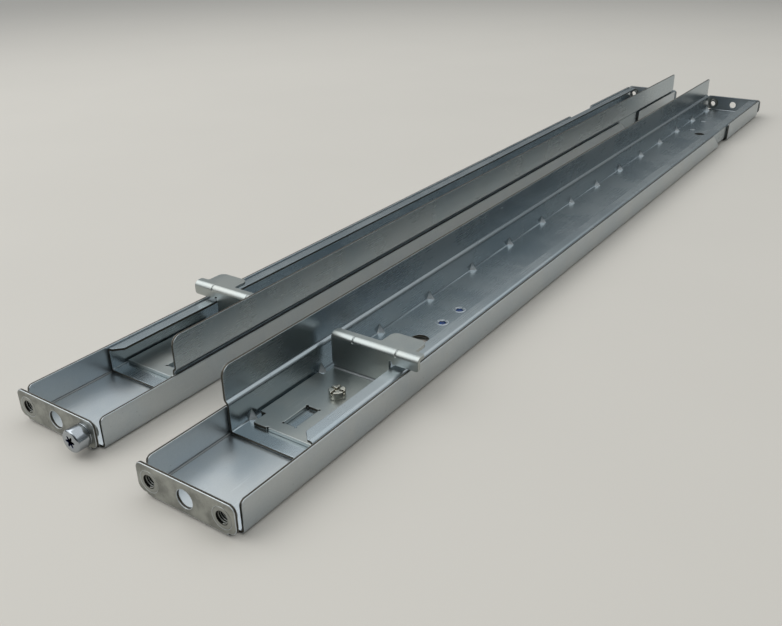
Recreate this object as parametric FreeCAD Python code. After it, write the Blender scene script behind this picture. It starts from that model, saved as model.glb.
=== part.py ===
import FreeCAD, Part
import math
import os

# Sliding server rail pair: two mirrored one-unit rails lying on their webs.
# Each rail is a front channel that stays with the front post, and a sliding
# member (ledge rail, rear bracket and stop bracket) that telescopes in it.
#
# Millimetres. +X runs from the front end plates to the rear ones, +Z is up.
# The origin is on the table, midway between the two rails and midway along
# the pair. Every piece is modelled once, as part of the right-hand rail in
# that rail's own frame: X from the front face of its end plate, Y from its
# centre line towards its ledge, Z from the table. The left-hand rail is the
# mirror image.

V = FreeCAD.Vector

# --- Driving dimensions -----------------------------------------------------

# The pair
OVERALL_LENGTH = 621.7       # front face to rear face of one rail, as set
RAIL_SPACING = 71.4          # between the two centre lines
RAIL_STAGGER = 6.1           # how far back the left-hand rail lies

# Interface to the rack posts
THREAD_SPACING = 31.75       # between the two threaded holes of an end plate
THREAD_MINOR_DIAMETER = 4.4
HOLE_HEIGHT = 6.9            # hole centres above the table
FRONT_CENTRE_HOLE_DIAMETER = 6.9
REAR_CENTRE_HOLE_DIAMETER = 5.0

# Channel sheet: the front channel and the rear bracket
CHANNEL_SHEET = 1.2
CHANNEL_BEND_RADIUS = 0.75   # inside radius
CHANNEL_WIDTH = 41.8
CHANNEL_HEIGHT = 12.5

# End plates, bent up from the web
END_PLATE_WIDTH = 43.0
END_PLATE_HEIGHT = 13.0
END_PLATE_TOP_RADIUS = 2.5
END_PLATE_FOOT_RADIUS = 3.0
END_PLATE_FOOT_WIDTH = 35.0
END_PLATE_SLIT = 2.5         # between the plate and the channel's flanges

# Front channel
FRONT_CHANNEL_END_SLANT = 16.9
FLANGE_FRONT_RADIUS = 2.0
FLANGE_REAR_RADIUS = 4.0

# Ledge rail
LEDGE_SHEET = 1.2
LEDGE_BEND_RADIUS = 0.6
LEDGE_RAIL_SETBACK = 39.1    # behind the front end plate
LEDGE_HEIGHT = 28.0
LEDGE_JOG = 1.3              # how far the ledge steps out over the flange
LEDGE_JOG_RISE = 1.3
LEDGE_FRONT_RADIUS = 4.0
LEDGE_REAR_RADIUS = 1.0
LEDGE_REAR_SETBACK = 9.4     # ledge's end, ahead of the rear face
FLOOR_REAR_SETBACK = 5.2     # floor's end, ahead of the rear face
LIP_WIDTH = 6.1
LIP_FRONT_CHAMFER = 3.5

# Stiffening darts pressed into the bend between floor and ledge
DART_FIRST = 49.6            # from the front end plate
DART_PITCH = 40.0
DART_HEIGHT = 4.2
DART_DEPTH = 2.8
DART_HALF_WIDTH = 2.0
DART_HOLLOW_OFFSET = 0.15    # how far its hollow starts outside the sheet

# Holes in the ledge rail's floor, from the front end plate
ACCESS_HOLE_POSITION = 133.0
ACCESS_HOLE_DIAMETER = 8.0
REAR_SIGHT_HOLE_SETBACK = 92.7  # ahead of the rear face
REAR_SIGHT_HOLE_DIAMETER = 7.0
REAR_SIGHT_HOLE_MARGIN = 1.0  # the hole below it is this much wider all round

# Slide: a block under the floor runs in a long slot of the front channel
SLIDE_SCREW_POSITION = 151.3
SLIDE_SCREW_SPACING = 15.0
SLIDE_SCREW_DIAMETER = 3.0
SLIDE_SCREW_HEAD_DIAMETER = 5.6
SLIDE_BLOCK_LENGTH = 26.0
SLIDE_BLOCK_CHAMFER = 3.0
SLIDE_BLOCK_FLANGE = 2.2     # how far its flange reaches under the slot's edge
SLIDE_BLOCK_FLANGE_THICKNESS = 0.5
SLIDE_SLOT_WIDTH = 9.0
SLIDE_RECESS_DEPTH = 0.7     # coined band along the slot, under the web
TRAVEL_SHORTER = 20.0
SLIDE_SLOT_REAR_SETBACK = 43.2  # slot's end, ahead of the front channel's rear end
SHORT_SETTING_GAP = 2.5      # front channel to rear bracket at the shortest setting

# Rear bracket and its rivets
REAR_BRACKET_LENGTH = 93.7
REAR_BRACKET_FRONT_SLANT = 1.5
RIVET_FIRST = 11.0           # from the bracket's front edge
RIVET_PITCH = 30.0
RIVET_SPREAD = 17.5
RIVET_DIAMETER = 3.2
RIVET_HEAD_DIAMETER = 4.6
RIVET_HEAD_HEIGHT = 0.5

# Stop bracket
STOP_SHEET = 1.5
STOP_BEND_RADIUS = 0.9
STOP_PLATE_SETBACK = 46.2    # plate's front edge, behind the front end plate
STOP_WALL_POSITION = 92.8    # wall's front face
STOP_WALL_LEDGE_SIDE = 15.2
STOP_OVERHANG = 4.3          # past the outside of the channel
STOP_HEIGHT = 19.5
STOP_TOP_DEPTH = 4.8
STOP_TAB_DEPTH = 8.6         # past the rear edge of the top flange
STOP_TAB_INNER = -5.5
STOP_TAB_OUTER = -21.0
STOP_TAB_RADIUS = 3.0
STOP_CORNER_RADIUS = 1.0
STOP_LIP_CLEARANCE = 1.2     # over the lip
STOP_RIB_POSITIONS = (5.0, -14.9)
STOP_RIB_WIDTH = 1.7         # at the margin outside the sheet
STOP_RIB_DEPTH = 0.5
STOP_WINDOW_POSITION = 51.7
STOP_WINDOW_LENGTH = 13.3
STOP_WINDOW_WIDTH = 5.6
STOP_WINDOW_OFFSET = 2.4
STOP_WINDOW_RELIEF_RADIUS = 0.5
STOP_NOTCH_POSITION = 7.9
STOP_NOTCH_WIDTH = 0.8
STOP_NOTCH_DEPTH = 0.9
STOP_RELIEF_WIDTH = 1.2
STOP_RELIEF_HEIGHT = 1.2

# Stop screw
STOP_SCREW_POSITION = 76.3
STOP_SCREW_DIAMETER = 4.0
STOP_SCREW_HEAD_DIAMETER = 6.6
STOP_SCREW_HEAD_HEIGHT = 3.0
STOP_SCREW_HEAD_CHAMFER = 0.3
STOP_SCREW_SLOT_WIDTH = 1.0
STOP_SCREW_SLOT_DEPTH = 1.3

# Clinch nuts in the end plates
NUT_SHANK_DIAMETER = 7.9
NUT_COLLAR_DIAMETER = 9.0
NUT_COLLAR_HEIGHT = 2.3

# Locating stud on the left-hand rail
STUD_LENGTH = 6.0
STUD_DIAMETER = 8.8
STUD_FOOT_DIAMETER = 8.4
STUD_FOOT_HEIGHT = 1.0
STUD_GROOVE_DIAMETER = 7.2
STUD_GROOVE_WIDTH = 0.5
STUD_THREAD_LENGTH = 4.0
STUD_TIP_CHAMFER = 0.4
STUD_SOCKET_DIAMETER = 3.0
STUD_SOCKET_DEPTH = 1.6

# Clearances
SIDE_GAP = 0.3               # ledge rail to channel flange, each side
FLOOR_GAP = 0.3              # ledge rail's floor over the channel's web
JOG_GAP = 1.0                # ledge's step over the flange's top edge
STOP_PLATE_GAP = 0.9         # stop bracket's plate to the ledge rail's walls
DART_GAP = 1.5               # stop bracket's plate around a dart, along the rail
DART_TIP_GAP = 0.9           # and across it
THREAD_GAP = 0.05            # between a plain shank and the hole it fills
BLOCK_GAP = 0.1              # slide block to its slot and recess
BLOCK_END_GAP = 0.5          # left at both ends of the travel

# --- Derived values ---------------------------------------------------------

CHANNEL_INNER = CHANNEL_WIDTH / 2 - CHANNEL_SHEET
FLANGE_START = CHANNEL_SHEET + END_PLATE_SLIT
LEDGE_WALL_OUTER = CHANNEL_INNER - SIDE_GAP
LEDGE_WALL_INNER = LEDGE_WALL_OUTER - LEDGE_SHEET
FLOOR_BOTTOM = CHANNEL_SHEET + FLOOR_GAP
FLOOR_TOP = FLOOR_BOTTOM + LEDGE_SHEET
LIP_TOP = CHANNEL_HEIGHT
LIP_INNER = LEDGE_WALL_OUTER - LIP_WIDTH
FLOOR_END = OVERALL_LENGTH - FLOOR_REAR_SETBACK
LEDGE_END = OVERALL_LENGTH - LEDGE_REAR_SETBACK
REAR_BRACKET_START = OVERALL_LENGTH - REAR_BRACKET_LENGTH
STOP_PLATE_TOP = FLOOR_TOP + STOP_SHEET
STOP_PLATE_SIDE = LEDGE_WALL_INNER - STOP_PLATE_GAP
STOP_FOOT_SIDE = LEDGE_WALL_INNER - DART_DEPTH - DART_TIP_GAP
STOP_OUTER_SIDE = -(CHANNEL_WIDTH / 2 + STOP_OVERHANG)
BLOCK_FLANGE_TOP = SLIDE_RECESS_DEPTH - BLOCK_GAP
BLOCK_BOTTOM = BLOCK_FLANGE_TOP - SLIDE_BLOCK_FLANGE_THICKNESS
REAR_SIGHT_HOLE_POSITION = OVERALL_LENGTH - REAR_SIGHT_HOLE_SETBACK
FRONT_CHANNEL_LENGTH = REAR_BRACKET_START - TRAVEL_SHORTER - SHORT_SETTING_GAP
SLIDE_BLOCK_CENTRE = SLIDE_SCREW_POSITION + SLIDE_SCREW_SPACING / 2
SLIDE_SCREWS = [SLIDE_SCREW_POSITION, SLIDE_SCREW_POSITION + SLIDE_SCREW_SPACING]

# A section drawn as (a, b) lands on (Y, Z) and is drawn out along +X, or
# lands on (X, Z) and is drawn out along -Y.
ALONG_X = FreeCAD.Rotation(V(1, 1, 1), 120)
ALONG_Y = FreeCAD.Rotation(V(1, 0, 0), 90)
UP = FreeCAD.Rotation()

MARGIN = 1.0                 # how far a cutting tool reaches past its work
SAME_PLACE = 1e-5            # two points nearer than this are one


# --- Outlines and sheets ----------------------------------------------------

def joined(edges):
    """Return the closed face that the edges bound, in order."""
    return Part.Face(Part.Wire(edges))


def line_if_long(start, end):
    """Return a straight edge in a list, or an empty list where it has no length."""
    if start.distanceToPoint(end) < SAME_PLACE:
        return []
    return [Part.makeLine(start, end)]


def outline(corners):
    """Return the face of a polygon whose corners are (a, b) or (a, b, radius)."""
    points = [V(corner[0], corner[1], 0) for corner in corners]
    radii = [corner[2] if len(corner) > 2 else 0.0 for corner in corners]
    arcs = []
    for index, point in enumerate(points):
        back = (points[index - 1] - point).normalize()
        ahead = (points[(index + 1) % len(points)] - point).normalize()
        half_angle = back.getAngle(ahead) / 2
        reach = radii[index] / math.tan(half_angle)
        to_centre = (back + ahead).normalize() * (radii[index] / math.sin(half_angle))
        nearest = point + to_centre * (1 - math.sin(half_angle))
        arcs.append((point + back * reach, nearest, point + ahead * reach))
    edges = []
    for index, (start, nearest, end) in enumerate(arcs):
        if radii[index] > 0:
            edges.append(Part.Arc(start, nearest, end).toShape())
        edges += line_if_long(end, arcs[(index + 1) % len(arcs)][0])
    return joined(edges)


def sheet_section(path, thickness, inside_radius):
    """Return the section of a bent sheet whose middle line is the (a, b) path."""
    points = [V(a, b, 0) for a, b in path]
    half = thickness / 2
    bend = inside_radius + half
    sides = {half: [], -half: []}
    ends = {}
    for offset, edges in sides.items():
        directions = [(b - a).normalize() for a, b in zip(points, points[1:])]
        normals = [V(-d.y, d.x, 0) * offset for d in directions]
        pen = points[0] + normals[0]
        ends[offset] = [pen]
        for index in range(1, len(points) - 1):
            before, after = directions[index - 1], directions[index]
            turn = before.getAngle(after)
            reach = bend * math.tan(turn / 2)
            start = points[index] - before * reach
            end = points[index] + after * reach
            to_centre = (after - before).normalize()
            centre = points[index] + to_centre * (bend / math.cos(turn / 2))
            outward = (start + normals[index - 1] - centre).Length
            middle = centre - to_centre * outward
            edges += line_if_long(pen, start + normals[index - 1])
            pen = end + normals[index]
            edges.append(Part.Arc(start + normals[index - 1], middle, pen).toShape())
        last = points[-1] + normals[-1]
        edges += line_if_long(pen, last)
        ends[offset].append(last)
    caps = [Part.makeLine(ends[half][i], ends[-half][i]) for i in (0, 1)]
    return joined(sides[half] + [caps[1]] + sides[-half][::-1] + [caps[0]])


def drawn_out(face, rotation, start, length):
    """Draw a face out into a solid, from start along the rotation's own axis."""
    solid = face.extrude(V(0, 0, length))
    solid.Placement = FreeCAD.Placement(rotation.multVec(V(0, 0, start)), rotation)
    return solid


def bar_along_x(face, start, end):
    """Draw a (Y, Z) face out from x = start to x = end."""
    return drawn_out(face, ALONG_X, start, end - start)


def bar_along_y(face, start, end):
    """Draw an (X, Z) face out from y = start to y = end."""
    return drawn_out(face, ALONG_Y, -end, end - start)


def bar_along_z(face, start, end):
    """Draw an (X, Y) face out from z = start to z = end."""
    return drawn_out(face, UP, start, end - start)


def block(x_range, y_range, z_range):
    """Return a box from its three (low, high) ranges."""
    size = [high - low for low, high in (x_range, y_range, z_range)]
    return Part.makeBox(*size, V(x_range[0], y_range[0], z_range[0]))


def rod_along_x(diameter, start, end, y, z):
    """Return a cylinder along X."""
    return Part.makeCylinder(diameter / 2, end - start, V(start, y, z), V(1, 0, 0))


def rod_along_z(diameter, start, end, x, y):
    """Return a cylinder along Z."""
    return Part.makeCylinder(diameter / 2, end - start, V(x, y, start), V(0, 0, 1))


def rounded_slot(start, end, width, low, high):
    """Return a slot's solid along X, its round ends at x = start and x = end."""
    radius = width / 2
    corners = [(start, -radius, radius), (end, -radius, radius)]
    corners += [(end, radius, radius), (start, radius, radius)]
    return bar_along_z(outline(corners), low, high)


def edges_at(shape, x=None, y=None, z=None):
    """Return the edges whose ends all lie at the given coordinates."""
    wanted = [(axis, value) for axis, value in zip("xyz", (x, y, z)) if value is not None]
    found = []
    for edge in shape.Edges:
        ends = [vertex.Point for vertex in edge.Vertexes]
        offsets = [getattr(end, axis) - value for end in ends for axis, value in wanted]
        if max(abs(offset) for offset in offsets) < SAME_PLACE:
            found.append(edge)
    return found


def with_round_corner(shape, radius, **place):
    """Round the corner of a sheet whose thickness edge lies at the given place."""
    return shape.makeFillet(radius, edges_at(shape, **place))


# --- Channel pieces ---------------------------------------------------------

def channel_section():
    """Return the (Y, Z) section of the channel sheet, open at the top."""
    half_sheet = CHANNEL_SHEET / 2
    side = CHANNEL_WIDTH / 2 - half_sheet
    path = [(-side, CHANNEL_HEIGHT), (-side, half_sheet)]
    path += [(side, half_sheet), (side, CHANNEL_HEIGHT)]
    return sheet_section(path, CHANNEL_SHEET, CHANNEL_BEND_RADIUS)


def channel_length(side_outline):
    """Return a length of channel whose side view is the given (X, Z) corners."""
    reach = [corner[0] for corner in side_outline]
    channel = bar_along_x(channel_section(), min(reach), max(reach))
    side_view = bar_along_y(outline(side_outline), -CHANNEL_WIDTH, CHANNEL_WIDTH)
    return channel.common(side_view)


def end_plate(centre_hole_diameter, lift):
    """Return an end plate with its foot, raised by lift, as it is at the front."""
    half_sheet = CHANNEL_SHEET / 2
    corner = (half_sheet, half_sheet)
    path = [(FLANGE_START + MARGIN, half_sheet), corner, (half_sheet, END_PLATE_HEIGHT - lift)]
    fold = sheet_section(path, CHANNEL_SHEET, CHANNEL_BEND_RADIUS)
    plate = bar_along_y(fold, -END_PLATE_WIDTH / 2, END_PLATE_WIDTH / 2)
    foot = END_PLATE_FOOT_WIDTH / 2
    side = END_PLATE_WIDTH / 2
    bend_top = CHANNEL_BEND_RADIUS + CHANNEL_SHEET
    top = END_PLATE_HEIGHT - lift
    corners = [(-foot, -MARGIN), (foot, -MARGIN), (foot, bend_top, CHANNEL_BEND_RADIUS)]
    corners += [(side, bend_top, END_PLATE_FOOT_RADIUS), (side, top, END_PLATE_TOP_RADIUS)]
    corners += [(-side, top, END_PLATE_TOP_RADIUS), (-side, bend_top, END_PLATE_FOOT_RADIUS)]
    corners += [(-foot, bend_top, CHANNEL_BEND_RADIUS)]
    plate = plate.common(bar_along_x(outline(corners), -MARGIN, FLANGE_START + 2 * MARGIN))
    height = HOLE_HEIGHT - lift
    hole = rod_along_x(centre_hole_diameter, -MARGIN, CHANNEL_SHEET + MARGIN, 0, height)
    plate = plate.cut(hole)
    for y in (-THREAD_SPACING / 2, THREAD_SPACING / 2):
        hole = rod_along_x(NUT_SHANK_DIAMETER, -MARGIN, CHANNEL_SHEET + MARGIN, y, height)
        plate = plate.cut(hole)
    return plate.translated(V(0, 0, lift))


def slide_slot_ends():
    """Return the x of the slide slot's two ends."""
    reach = SLIDE_BLOCK_LENGTH / 2 + BLOCK_END_GAP
    start = SLIDE_BLOCK_CENTRE - TRAVEL_SHORTER - reach
    end = FRONT_CHANNEL_LENGTH - SLIDE_SLOT_REAR_SETBACK
    return start, end


def front_channel():
    """Return the front channel: web, two flanges, end plate and slide slot."""
    slant_start = FRONT_CHANNEL_LENGTH - FRONT_CHANNEL_END_SLANT
    side_outline = [(FLANGE_START, 0), (FRONT_CHANNEL_LENGTH, 0)]
    side_outline += [(FRONT_CHANNEL_LENGTH, CHANNEL_SHEET + CHANNEL_BEND_RADIUS)]
    side_outline += [(slant_start, CHANNEL_HEIGHT, FLANGE_REAR_RADIUS)]
    side_outline += [(FLANGE_START, CHANNEL_HEIGHT, FLANGE_FRONT_RADIUS)]
    channel = channel_length(side_outline)
    channel = channel.fuse(end_plate(FRONT_CENTRE_HOLE_DIAMETER, 0))
    start, end = slide_slot_ends()
    slot = rounded_slot(start, end, SLIDE_SLOT_WIDTH, -MARGIN, CHANNEL_SHEET + MARGIN)
    channel = channel.cut(slot)
    reach = SLIDE_BLOCK_FLANGE
    recess_width = SLIDE_SLOT_WIDTH + 2 * reach
    recess = rounded_slot(start - reach, end + reach, recess_width, -MARGIN, SLIDE_RECESS_DEPTH)
    return channel.cut(recess).removeSplitter()


def rear_bracket():
    """Return the rear bracket, a short channel lifted against the ledge rail's floor."""
    last = OVERALL_LENGTH - FLANGE_START
    slant_end = REAR_BRACKET_START + REAR_BRACKET_FRONT_SLANT
    side_outline = [(REAR_BRACKET_START, 0), (last, 0)]
    side_outline += [(last, CHANNEL_HEIGHT, FLANGE_FRONT_RADIUS)]
    side_outline += [(slant_end, CHANNEL_HEIGHT, FLANGE_FRONT_RADIUS)]
    bracket = channel_length(side_outline).translated(V(0, 0, FLOOR_GAP))
    plate = end_plate(REAR_CENTRE_HOLE_DIAMETER, FLOOR_GAP).mirror(V(0, 0, 0), V(1, 0, 0))
    bracket = bracket.fuse(plate.translated(V(OVERALL_LENGTH, 0, 0)))
    sight_diameter = REAR_SIGHT_HOLE_DIAMETER + 2 * REAR_SIGHT_HOLE_MARGIN
    bracket = bracket.cut(rod_along_z(sight_diameter, 0, CHANNEL_HEIGHT, REAR_SIGHT_HOLE_POSITION, 0))
    for x, y in rivet_places():
        bracket = bracket.cut(rod_along_z(RIVET_DIAMETER, 0, CHANNEL_HEIGHT, x, y))
    return bracket.removeSplitter()


def rivet_places():
    """Return the (x, y) of each rivet that holds the rear bracket."""
    places = []
    for x in (RIVET_FIRST, RIVET_FIRST + RIVET_PITCH):
        for y in (-RIVET_SPREAD / 2, RIVET_SPREAD / 2):
            places.append((REAR_BRACKET_START + x, y))
    return places


# --- Ledge rail -------------------------------------------------------------

def ledge_rail_section():
    """Return the (Y, Z) section: lip, outer wall, floor, inner wall, jog and ledge."""
    half = LEDGE_SHEET / 2
    side = LEDGE_WALL_OUTER - half
    floor = FLOOR_BOTTOM + half
    jog_start = CHANNEL_HEIGHT + JOG_GAP
    path = [(-LIP_INNER, LIP_TOP - half), (-side, LIP_TOP - half)]
    path += [(-side, floor), (side, floor)]
    path += [(side, jog_start), (side + LEDGE_JOG, jog_start + LEDGE_JOG_RISE)]
    path += [(side + LEDGE_JOG, LEDGE_HEIGHT)]
    return sheet_section(path, LEDGE_SHEET, LEDGE_BEND_RADIUS)


def pyramid(x, y, z, half_width, depth, height):
    """Return a dart's solid: four corners, two of them on the bend's corner line."""
    corner_low = V(x - half_width, y, z)
    corner_high = V(x + half_width, y, z)
    on_floor = V(x, y - depth, z)
    on_wall = V(x, y, z + height)
    corners = [corner_low, corner_high, on_floor, on_wall]
    faces = []
    for skipped in corners:
        ring = [corner for corner in corners if corner is not skipped]
        faces.append(Part.Face(Part.makePolygon(ring + ring[:1])))
    return Part.Solid(Part.Shell(faces))


def dart_positions():
    """Return the x of every dart along the bend."""
    count = int((LEDGE_END - DART_HALF_WIDTH - DART_FIRST) / DART_PITCH) + 1
    return [DART_FIRST + index * DART_PITCH for index in range(count)]


def with_darts(rail):
    """Press the stiffening darts: a ridge in the bend and a hollow behind it."""
    sink = LEDGE_SHEET / 2
    for x in dart_positions():
        reach = (DART_HALF_WIDTH + sink, DART_DEPTH + LEDGE_SHEET, DART_HEIGHT + LEDGE_SHEET)
        rail = rail.fuse(pyramid(x, LEDGE_WALL_INNER + sink, FLOOR_TOP - sink, *reach))
    for x in dart_positions():
        corner = (x, LEDGE_WALL_OUTER + DART_HOLLOW_OFFSET, FLOOR_BOTTOM - DART_HOLLOW_OFFSET)
        rail = rail.cut(pyramid(*corner, DART_HALF_WIDTH, DART_DEPTH, DART_HEIGHT))
    return rail


def countersink(x):
    """Return a countersunk screw's head, a 90 degree cone as deep as the floor is thick."""
    head = SLIDE_SCREW_HEAD_DIAMETER / 2
    root = head - LEDGE_SHEET
    return Part.makeCone(root, head, LEDGE_SHEET, V(x, 0, FLOOR_BOTTOM), V(0, 0, 1))


def ledge_rail():
    """Return the ledge rail, which slides in the front channel."""
    rail = bar_along_x(ledge_rail_section(), LEDGE_RAIL_SETBACK, FLOOR_END)
    ledge_side = (LEDGE_WALL_INNER - LEDGE_BEND_RADIUS, CHANNEL_WIDTH)
    rail = rail.cut(block((LEDGE_END, FLOOR_END + MARGIN), ledge_side, (0, LEDGE_HEIGHT + MARGIN)))
    rail = with_round_corner(rail, LEDGE_FRONT_RADIUS, x=LEDGE_RAIL_SETBACK, z=LEDGE_HEIGHT)
    rail = with_round_corner(rail, LEDGE_REAR_RADIUS, x=LEDGE_END, z=LEDGE_HEIGHT)
    chamfer_end = LEDGE_RAIL_SETBACK + LIP_FRONT_CHAMFER
    cut_corners = [(LEDGE_RAIL_SETBACK - MARGIN, -LIP_INNER - LIP_FRONT_CHAMFER - MARGIN)]
    cut_corners += [(chamfer_end + MARGIN, -LIP_INNER + MARGIN)]
    cut_corners += [(LEDGE_RAIL_SETBACK - MARGIN, -LIP_INNER + MARGIN)]
    rail = rail.cut(bar_along_z(outline(cut_corners), STOP_PLATE_TOP, LIP_TOP + MARGIN))
    rail = with_darts(rail)
    through = (0, FLOOR_TOP + MARGIN)
    rail = rail.cut(rod_along_z(ACCESS_HOLE_DIAMETER, *through, ACCESS_HOLE_POSITION, 0))
    rail = rail.cut(rod_along_z(REAR_SIGHT_HOLE_DIAMETER, *through, REAR_SIGHT_HOLE_POSITION, 0))
    rail = rail.cut(rod_along_z(STOP_SCREW_DIAMETER, *through, STOP_SCREW_POSITION, 0))
    for x in SLIDE_SCREWS:
        rail = rail.cut(countersink(x))
    for x, y in rivet_places():
        rail = rail.cut(rod_along_z(RIVET_DIAMETER, *through, x, y))
    return rail.removeSplitter()


# --- Stop bracket -----------------------------------------------------------

def stop_profile():
    """Return the (X, Z) section of plate, wall and top flange."""
    half = STOP_SHEET / 2
    wall = STOP_WALL_POSITION + half
    rear = STOP_WALL_POSITION + STOP_TOP_DEPTH + STOP_TAB_DEPTH
    path = [(STOP_PLATE_SETBACK, FLOOR_TOP + half), (wall, FLOOR_TOP + half)]
    path += [(wall, STOP_HEIGHT - half), (rear, STOP_HEIGHT - half)]
    return sheet_section(path, STOP_SHEET, STOP_BEND_RADIUS)


def stop_wall_outline():
    """Return the (Y, Z) outline: the wall steps over the lip and overhangs the channel."""
    step = LIP_TOP + STOP_LIP_CLEARANCE
    inner = -LIP_INNER + STOP_RELIEF_WIDTH
    top = STOP_HEIGHT + MARGIN
    bend_end = FLOOR_TOP + STOP_SHEET + STOP_BEND_RADIUS
    corners = [(inner, 0), (STOP_FOOT_SIDE, 0), (STOP_FOOT_SIDE, bend_end)]
    corners += [(STOP_WALL_LEDGE_SIDE, bend_end + STOP_SHEET), (STOP_WALL_LEDGE_SIDE, top)]
    corners += [(STOP_OUTER_SIDE, top), (STOP_OUTER_SIDE, step, STOP_CORNER_RADIUS)]
    corners += [(-LIP_INNER, step), (-LIP_INNER, step + STOP_RELIEF_HEIGHT)]
    corners += [(inner, step + STOP_RELIEF_HEIGHT)]
    return outline(corners)


def stop_top_outline():
    """Return the (X, Y) outline of the top flange and its tab."""
    front = STOP_WALL_POSITION - MARGIN
    rear = STOP_WALL_POSITION + STOP_TOP_DEPTH
    tab = rear + STOP_TAB_DEPTH
    corners = [(front, STOP_OUTER_SIDE), (rear, STOP_OUTER_SIDE, STOP_CORNER_RADIUS)]
    corners += [(rear, STOP_TAB_OUTER, STOP_CORNER_RADIUS)]
    corners += [(tab, STOP_TAB_OUTER, STOP_TAB_RADIUS), (tab, STOP_TAB_INNER, STOP_TAB_RADIUS)]
    corners += [(rear, STOP_TAB_INNER, STOP_CORNER_RADIUS)]
    corners += [(rear, STOP_WALL_LEDGE_SIDE, STOP_CORNER_RADIUS), (front, STOP_WALL_LEDGE_SIDE)]
    return outline(corners)


def stop_rib(y):
    """Return the groove that a pressed rib leaves around the top bend."""
    bend = STOP_BEND_RADIUS + STOP_SHEET
    wall, top = STOP_WALL_POSITION, STOP_HEIGHT - bend
    sides = [V(wall - MARGIN, y - STOP_RIB_WIDTH, top), V(wall - MARGIN, y + STOP_RIB_WIDTH, top)]
    tip = V(wall + STOP_RIB_DEPTH, y, top)
    notch = Part.Face(Part.makePolygon([sides[0], tip, sides[1], sides[0]]))
    return notch.revolve(V(wall + bend, y, top), V(0, 1, 0), 90)


def stop_window():
    """Return the window's solid, with a small round relief at each corner."""
    ends = (STOP_WINDOW_POSITION, STOP_WINDOW_POSITION + STOP_WINDOW_LENGTH)
    half = STOP_WINDOW_WIDTH / 2
    sides = (STOP_WINDOW_OFFSET - half, STOP_WINDOW_OFFSET + half)
    window = block(ends, sides, (FLOOR_TOP, STOP_PLATE_TOP))
    for x in ends:
        for y in sides:
            relief = rod_along_z(2 * STOP_WINDOW_RELIEF_RADIUS, FLOOR_TOP, STOP_PLATE_TOP, x, y)
            window = window.fuse(relief)
    return window


def stop_bracket():
    """Return the stop bracket, one stamped and bent piece on the ledge rail's floor."""
    outer = STOP_OUTER_SIDE
    folded = bar_along_y(stop_profile(), outer, -outer)
    plate_zone = STOP_WALL_POSITION - STOP_BEND_RADIUS
    plate_top = STOP_PLATE_TOP + MARGIN
    plate_sides = (-STOP_PLATE_SIDE, STOP_PLATE_SIDE)
    plate = folded.common(block((0, plate_zone), plate_sides, (0, plate_top)))
    for x in dart_positions():
        reach = DART_HALF_WIDTH + DART_GAP
        dart_zone = block((x - reach, x + reach), (STOP_FOOT_SIDE, -outer), (0, plate_top))
        plate = plate.cut(dart_zone)
    wall_and_top = folded.cut(block((0, plate_zone), (outer, -outer), (0, plate_top)))
    wall_reach = STOP_WALL_POSITION + STOP_TOP_DEPTH + STOP_TAB_DEPTH + MARGIN
    wall_and_top = wall_and_top.common(bar_along_x(stop_wall_outline(), 0, wall_reach))
    top_zone = bar_along_z(stop_top_outline(), 0, STOP_HEIGHT + MARGIN)
    top_zone = top_zone.fuse(block((0, STOP_WALL_POSITION), (outer, -outer), (0, STOP_HEIGHT)))
    bracket = plate.fuse(wall_and_top.common(top_zone))
    for y in STOP_RIB_POSITIONS:
        bracket = bracket.cut(stop_rib(y))
    bracket = bracket.cut(stop_window())
    bracket = bracket.cut(rod_along_z(STOP_SCREW_DIAMETER, 0, plate_top, STOP_SCREW_POSITION, 0))
    half = STOP_NOTCH_WIDTH / 2
    sides = (STOP_NOTCH_POSITION - half, STOP_NOTCH_POSITION + half)
    notch = block((0, STOP_PLATE_SETBACK + STOP_NOTCH_DEPTH), sides, (0, plate_top))
    return bracket.cut(notch).removeSplitter()


# --- Fasteners and the slide block ------------------------------------------

def stop_screw():
    """Return the stop screw: a low cylinder head with a cross slot."""
    x = STOP_SCREW_POSITION
    shank_diameter = STOP_SCREW_DIAMETER - 2 * THREAD_GAP
    shank = rod_along_z(shank_diameter, FLOOR_BOTTOM, STOP_PLATE_TOP, x, 0)
    head_top = STOP_PLATE_TOP + STOP_SCREW_HEAD_HEIGHT
    head = rod_along_z(STOP_SCREW_HEAD_DIAMETER, STOP_PLATE_TOP, head_top, x, 0)
    head = head.makeChamfer(STOP_SCREW_HEAD_CHAMFER, edges_at(head, z=head_top)[:1])
    half = STOP_SCREW_SLOT_WIDTH / 2
    reach = STOP_SCREW_HEAD_DIAMETER / 2
    depth = (head_top - STOP_SCREW_SLOT_DEPTH, head_top + MARGIN)
    along = block((x - reach, x + reach), (-half, half), depth)
    across = block((x - half, x + half), (-reach, reach), depth)
    return head.cut(along).cut(across).fuse(shank).removeSplitter()


def slide_screws():
    """Return the two countersunk screws, flush with the ledge rail's floor."""
    screws = []
    for x in SLIDE_SCREWS:
        shank = rod_along_z(SLIDE_SCREW_DIAMETER, BLOCK_BOTTOM, FLOOR_BOTTOM, x, 0)
        screws.append(countersink(x).fuse(shank).removeSplitter())
    return Part.makeCompound(screws)


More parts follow.
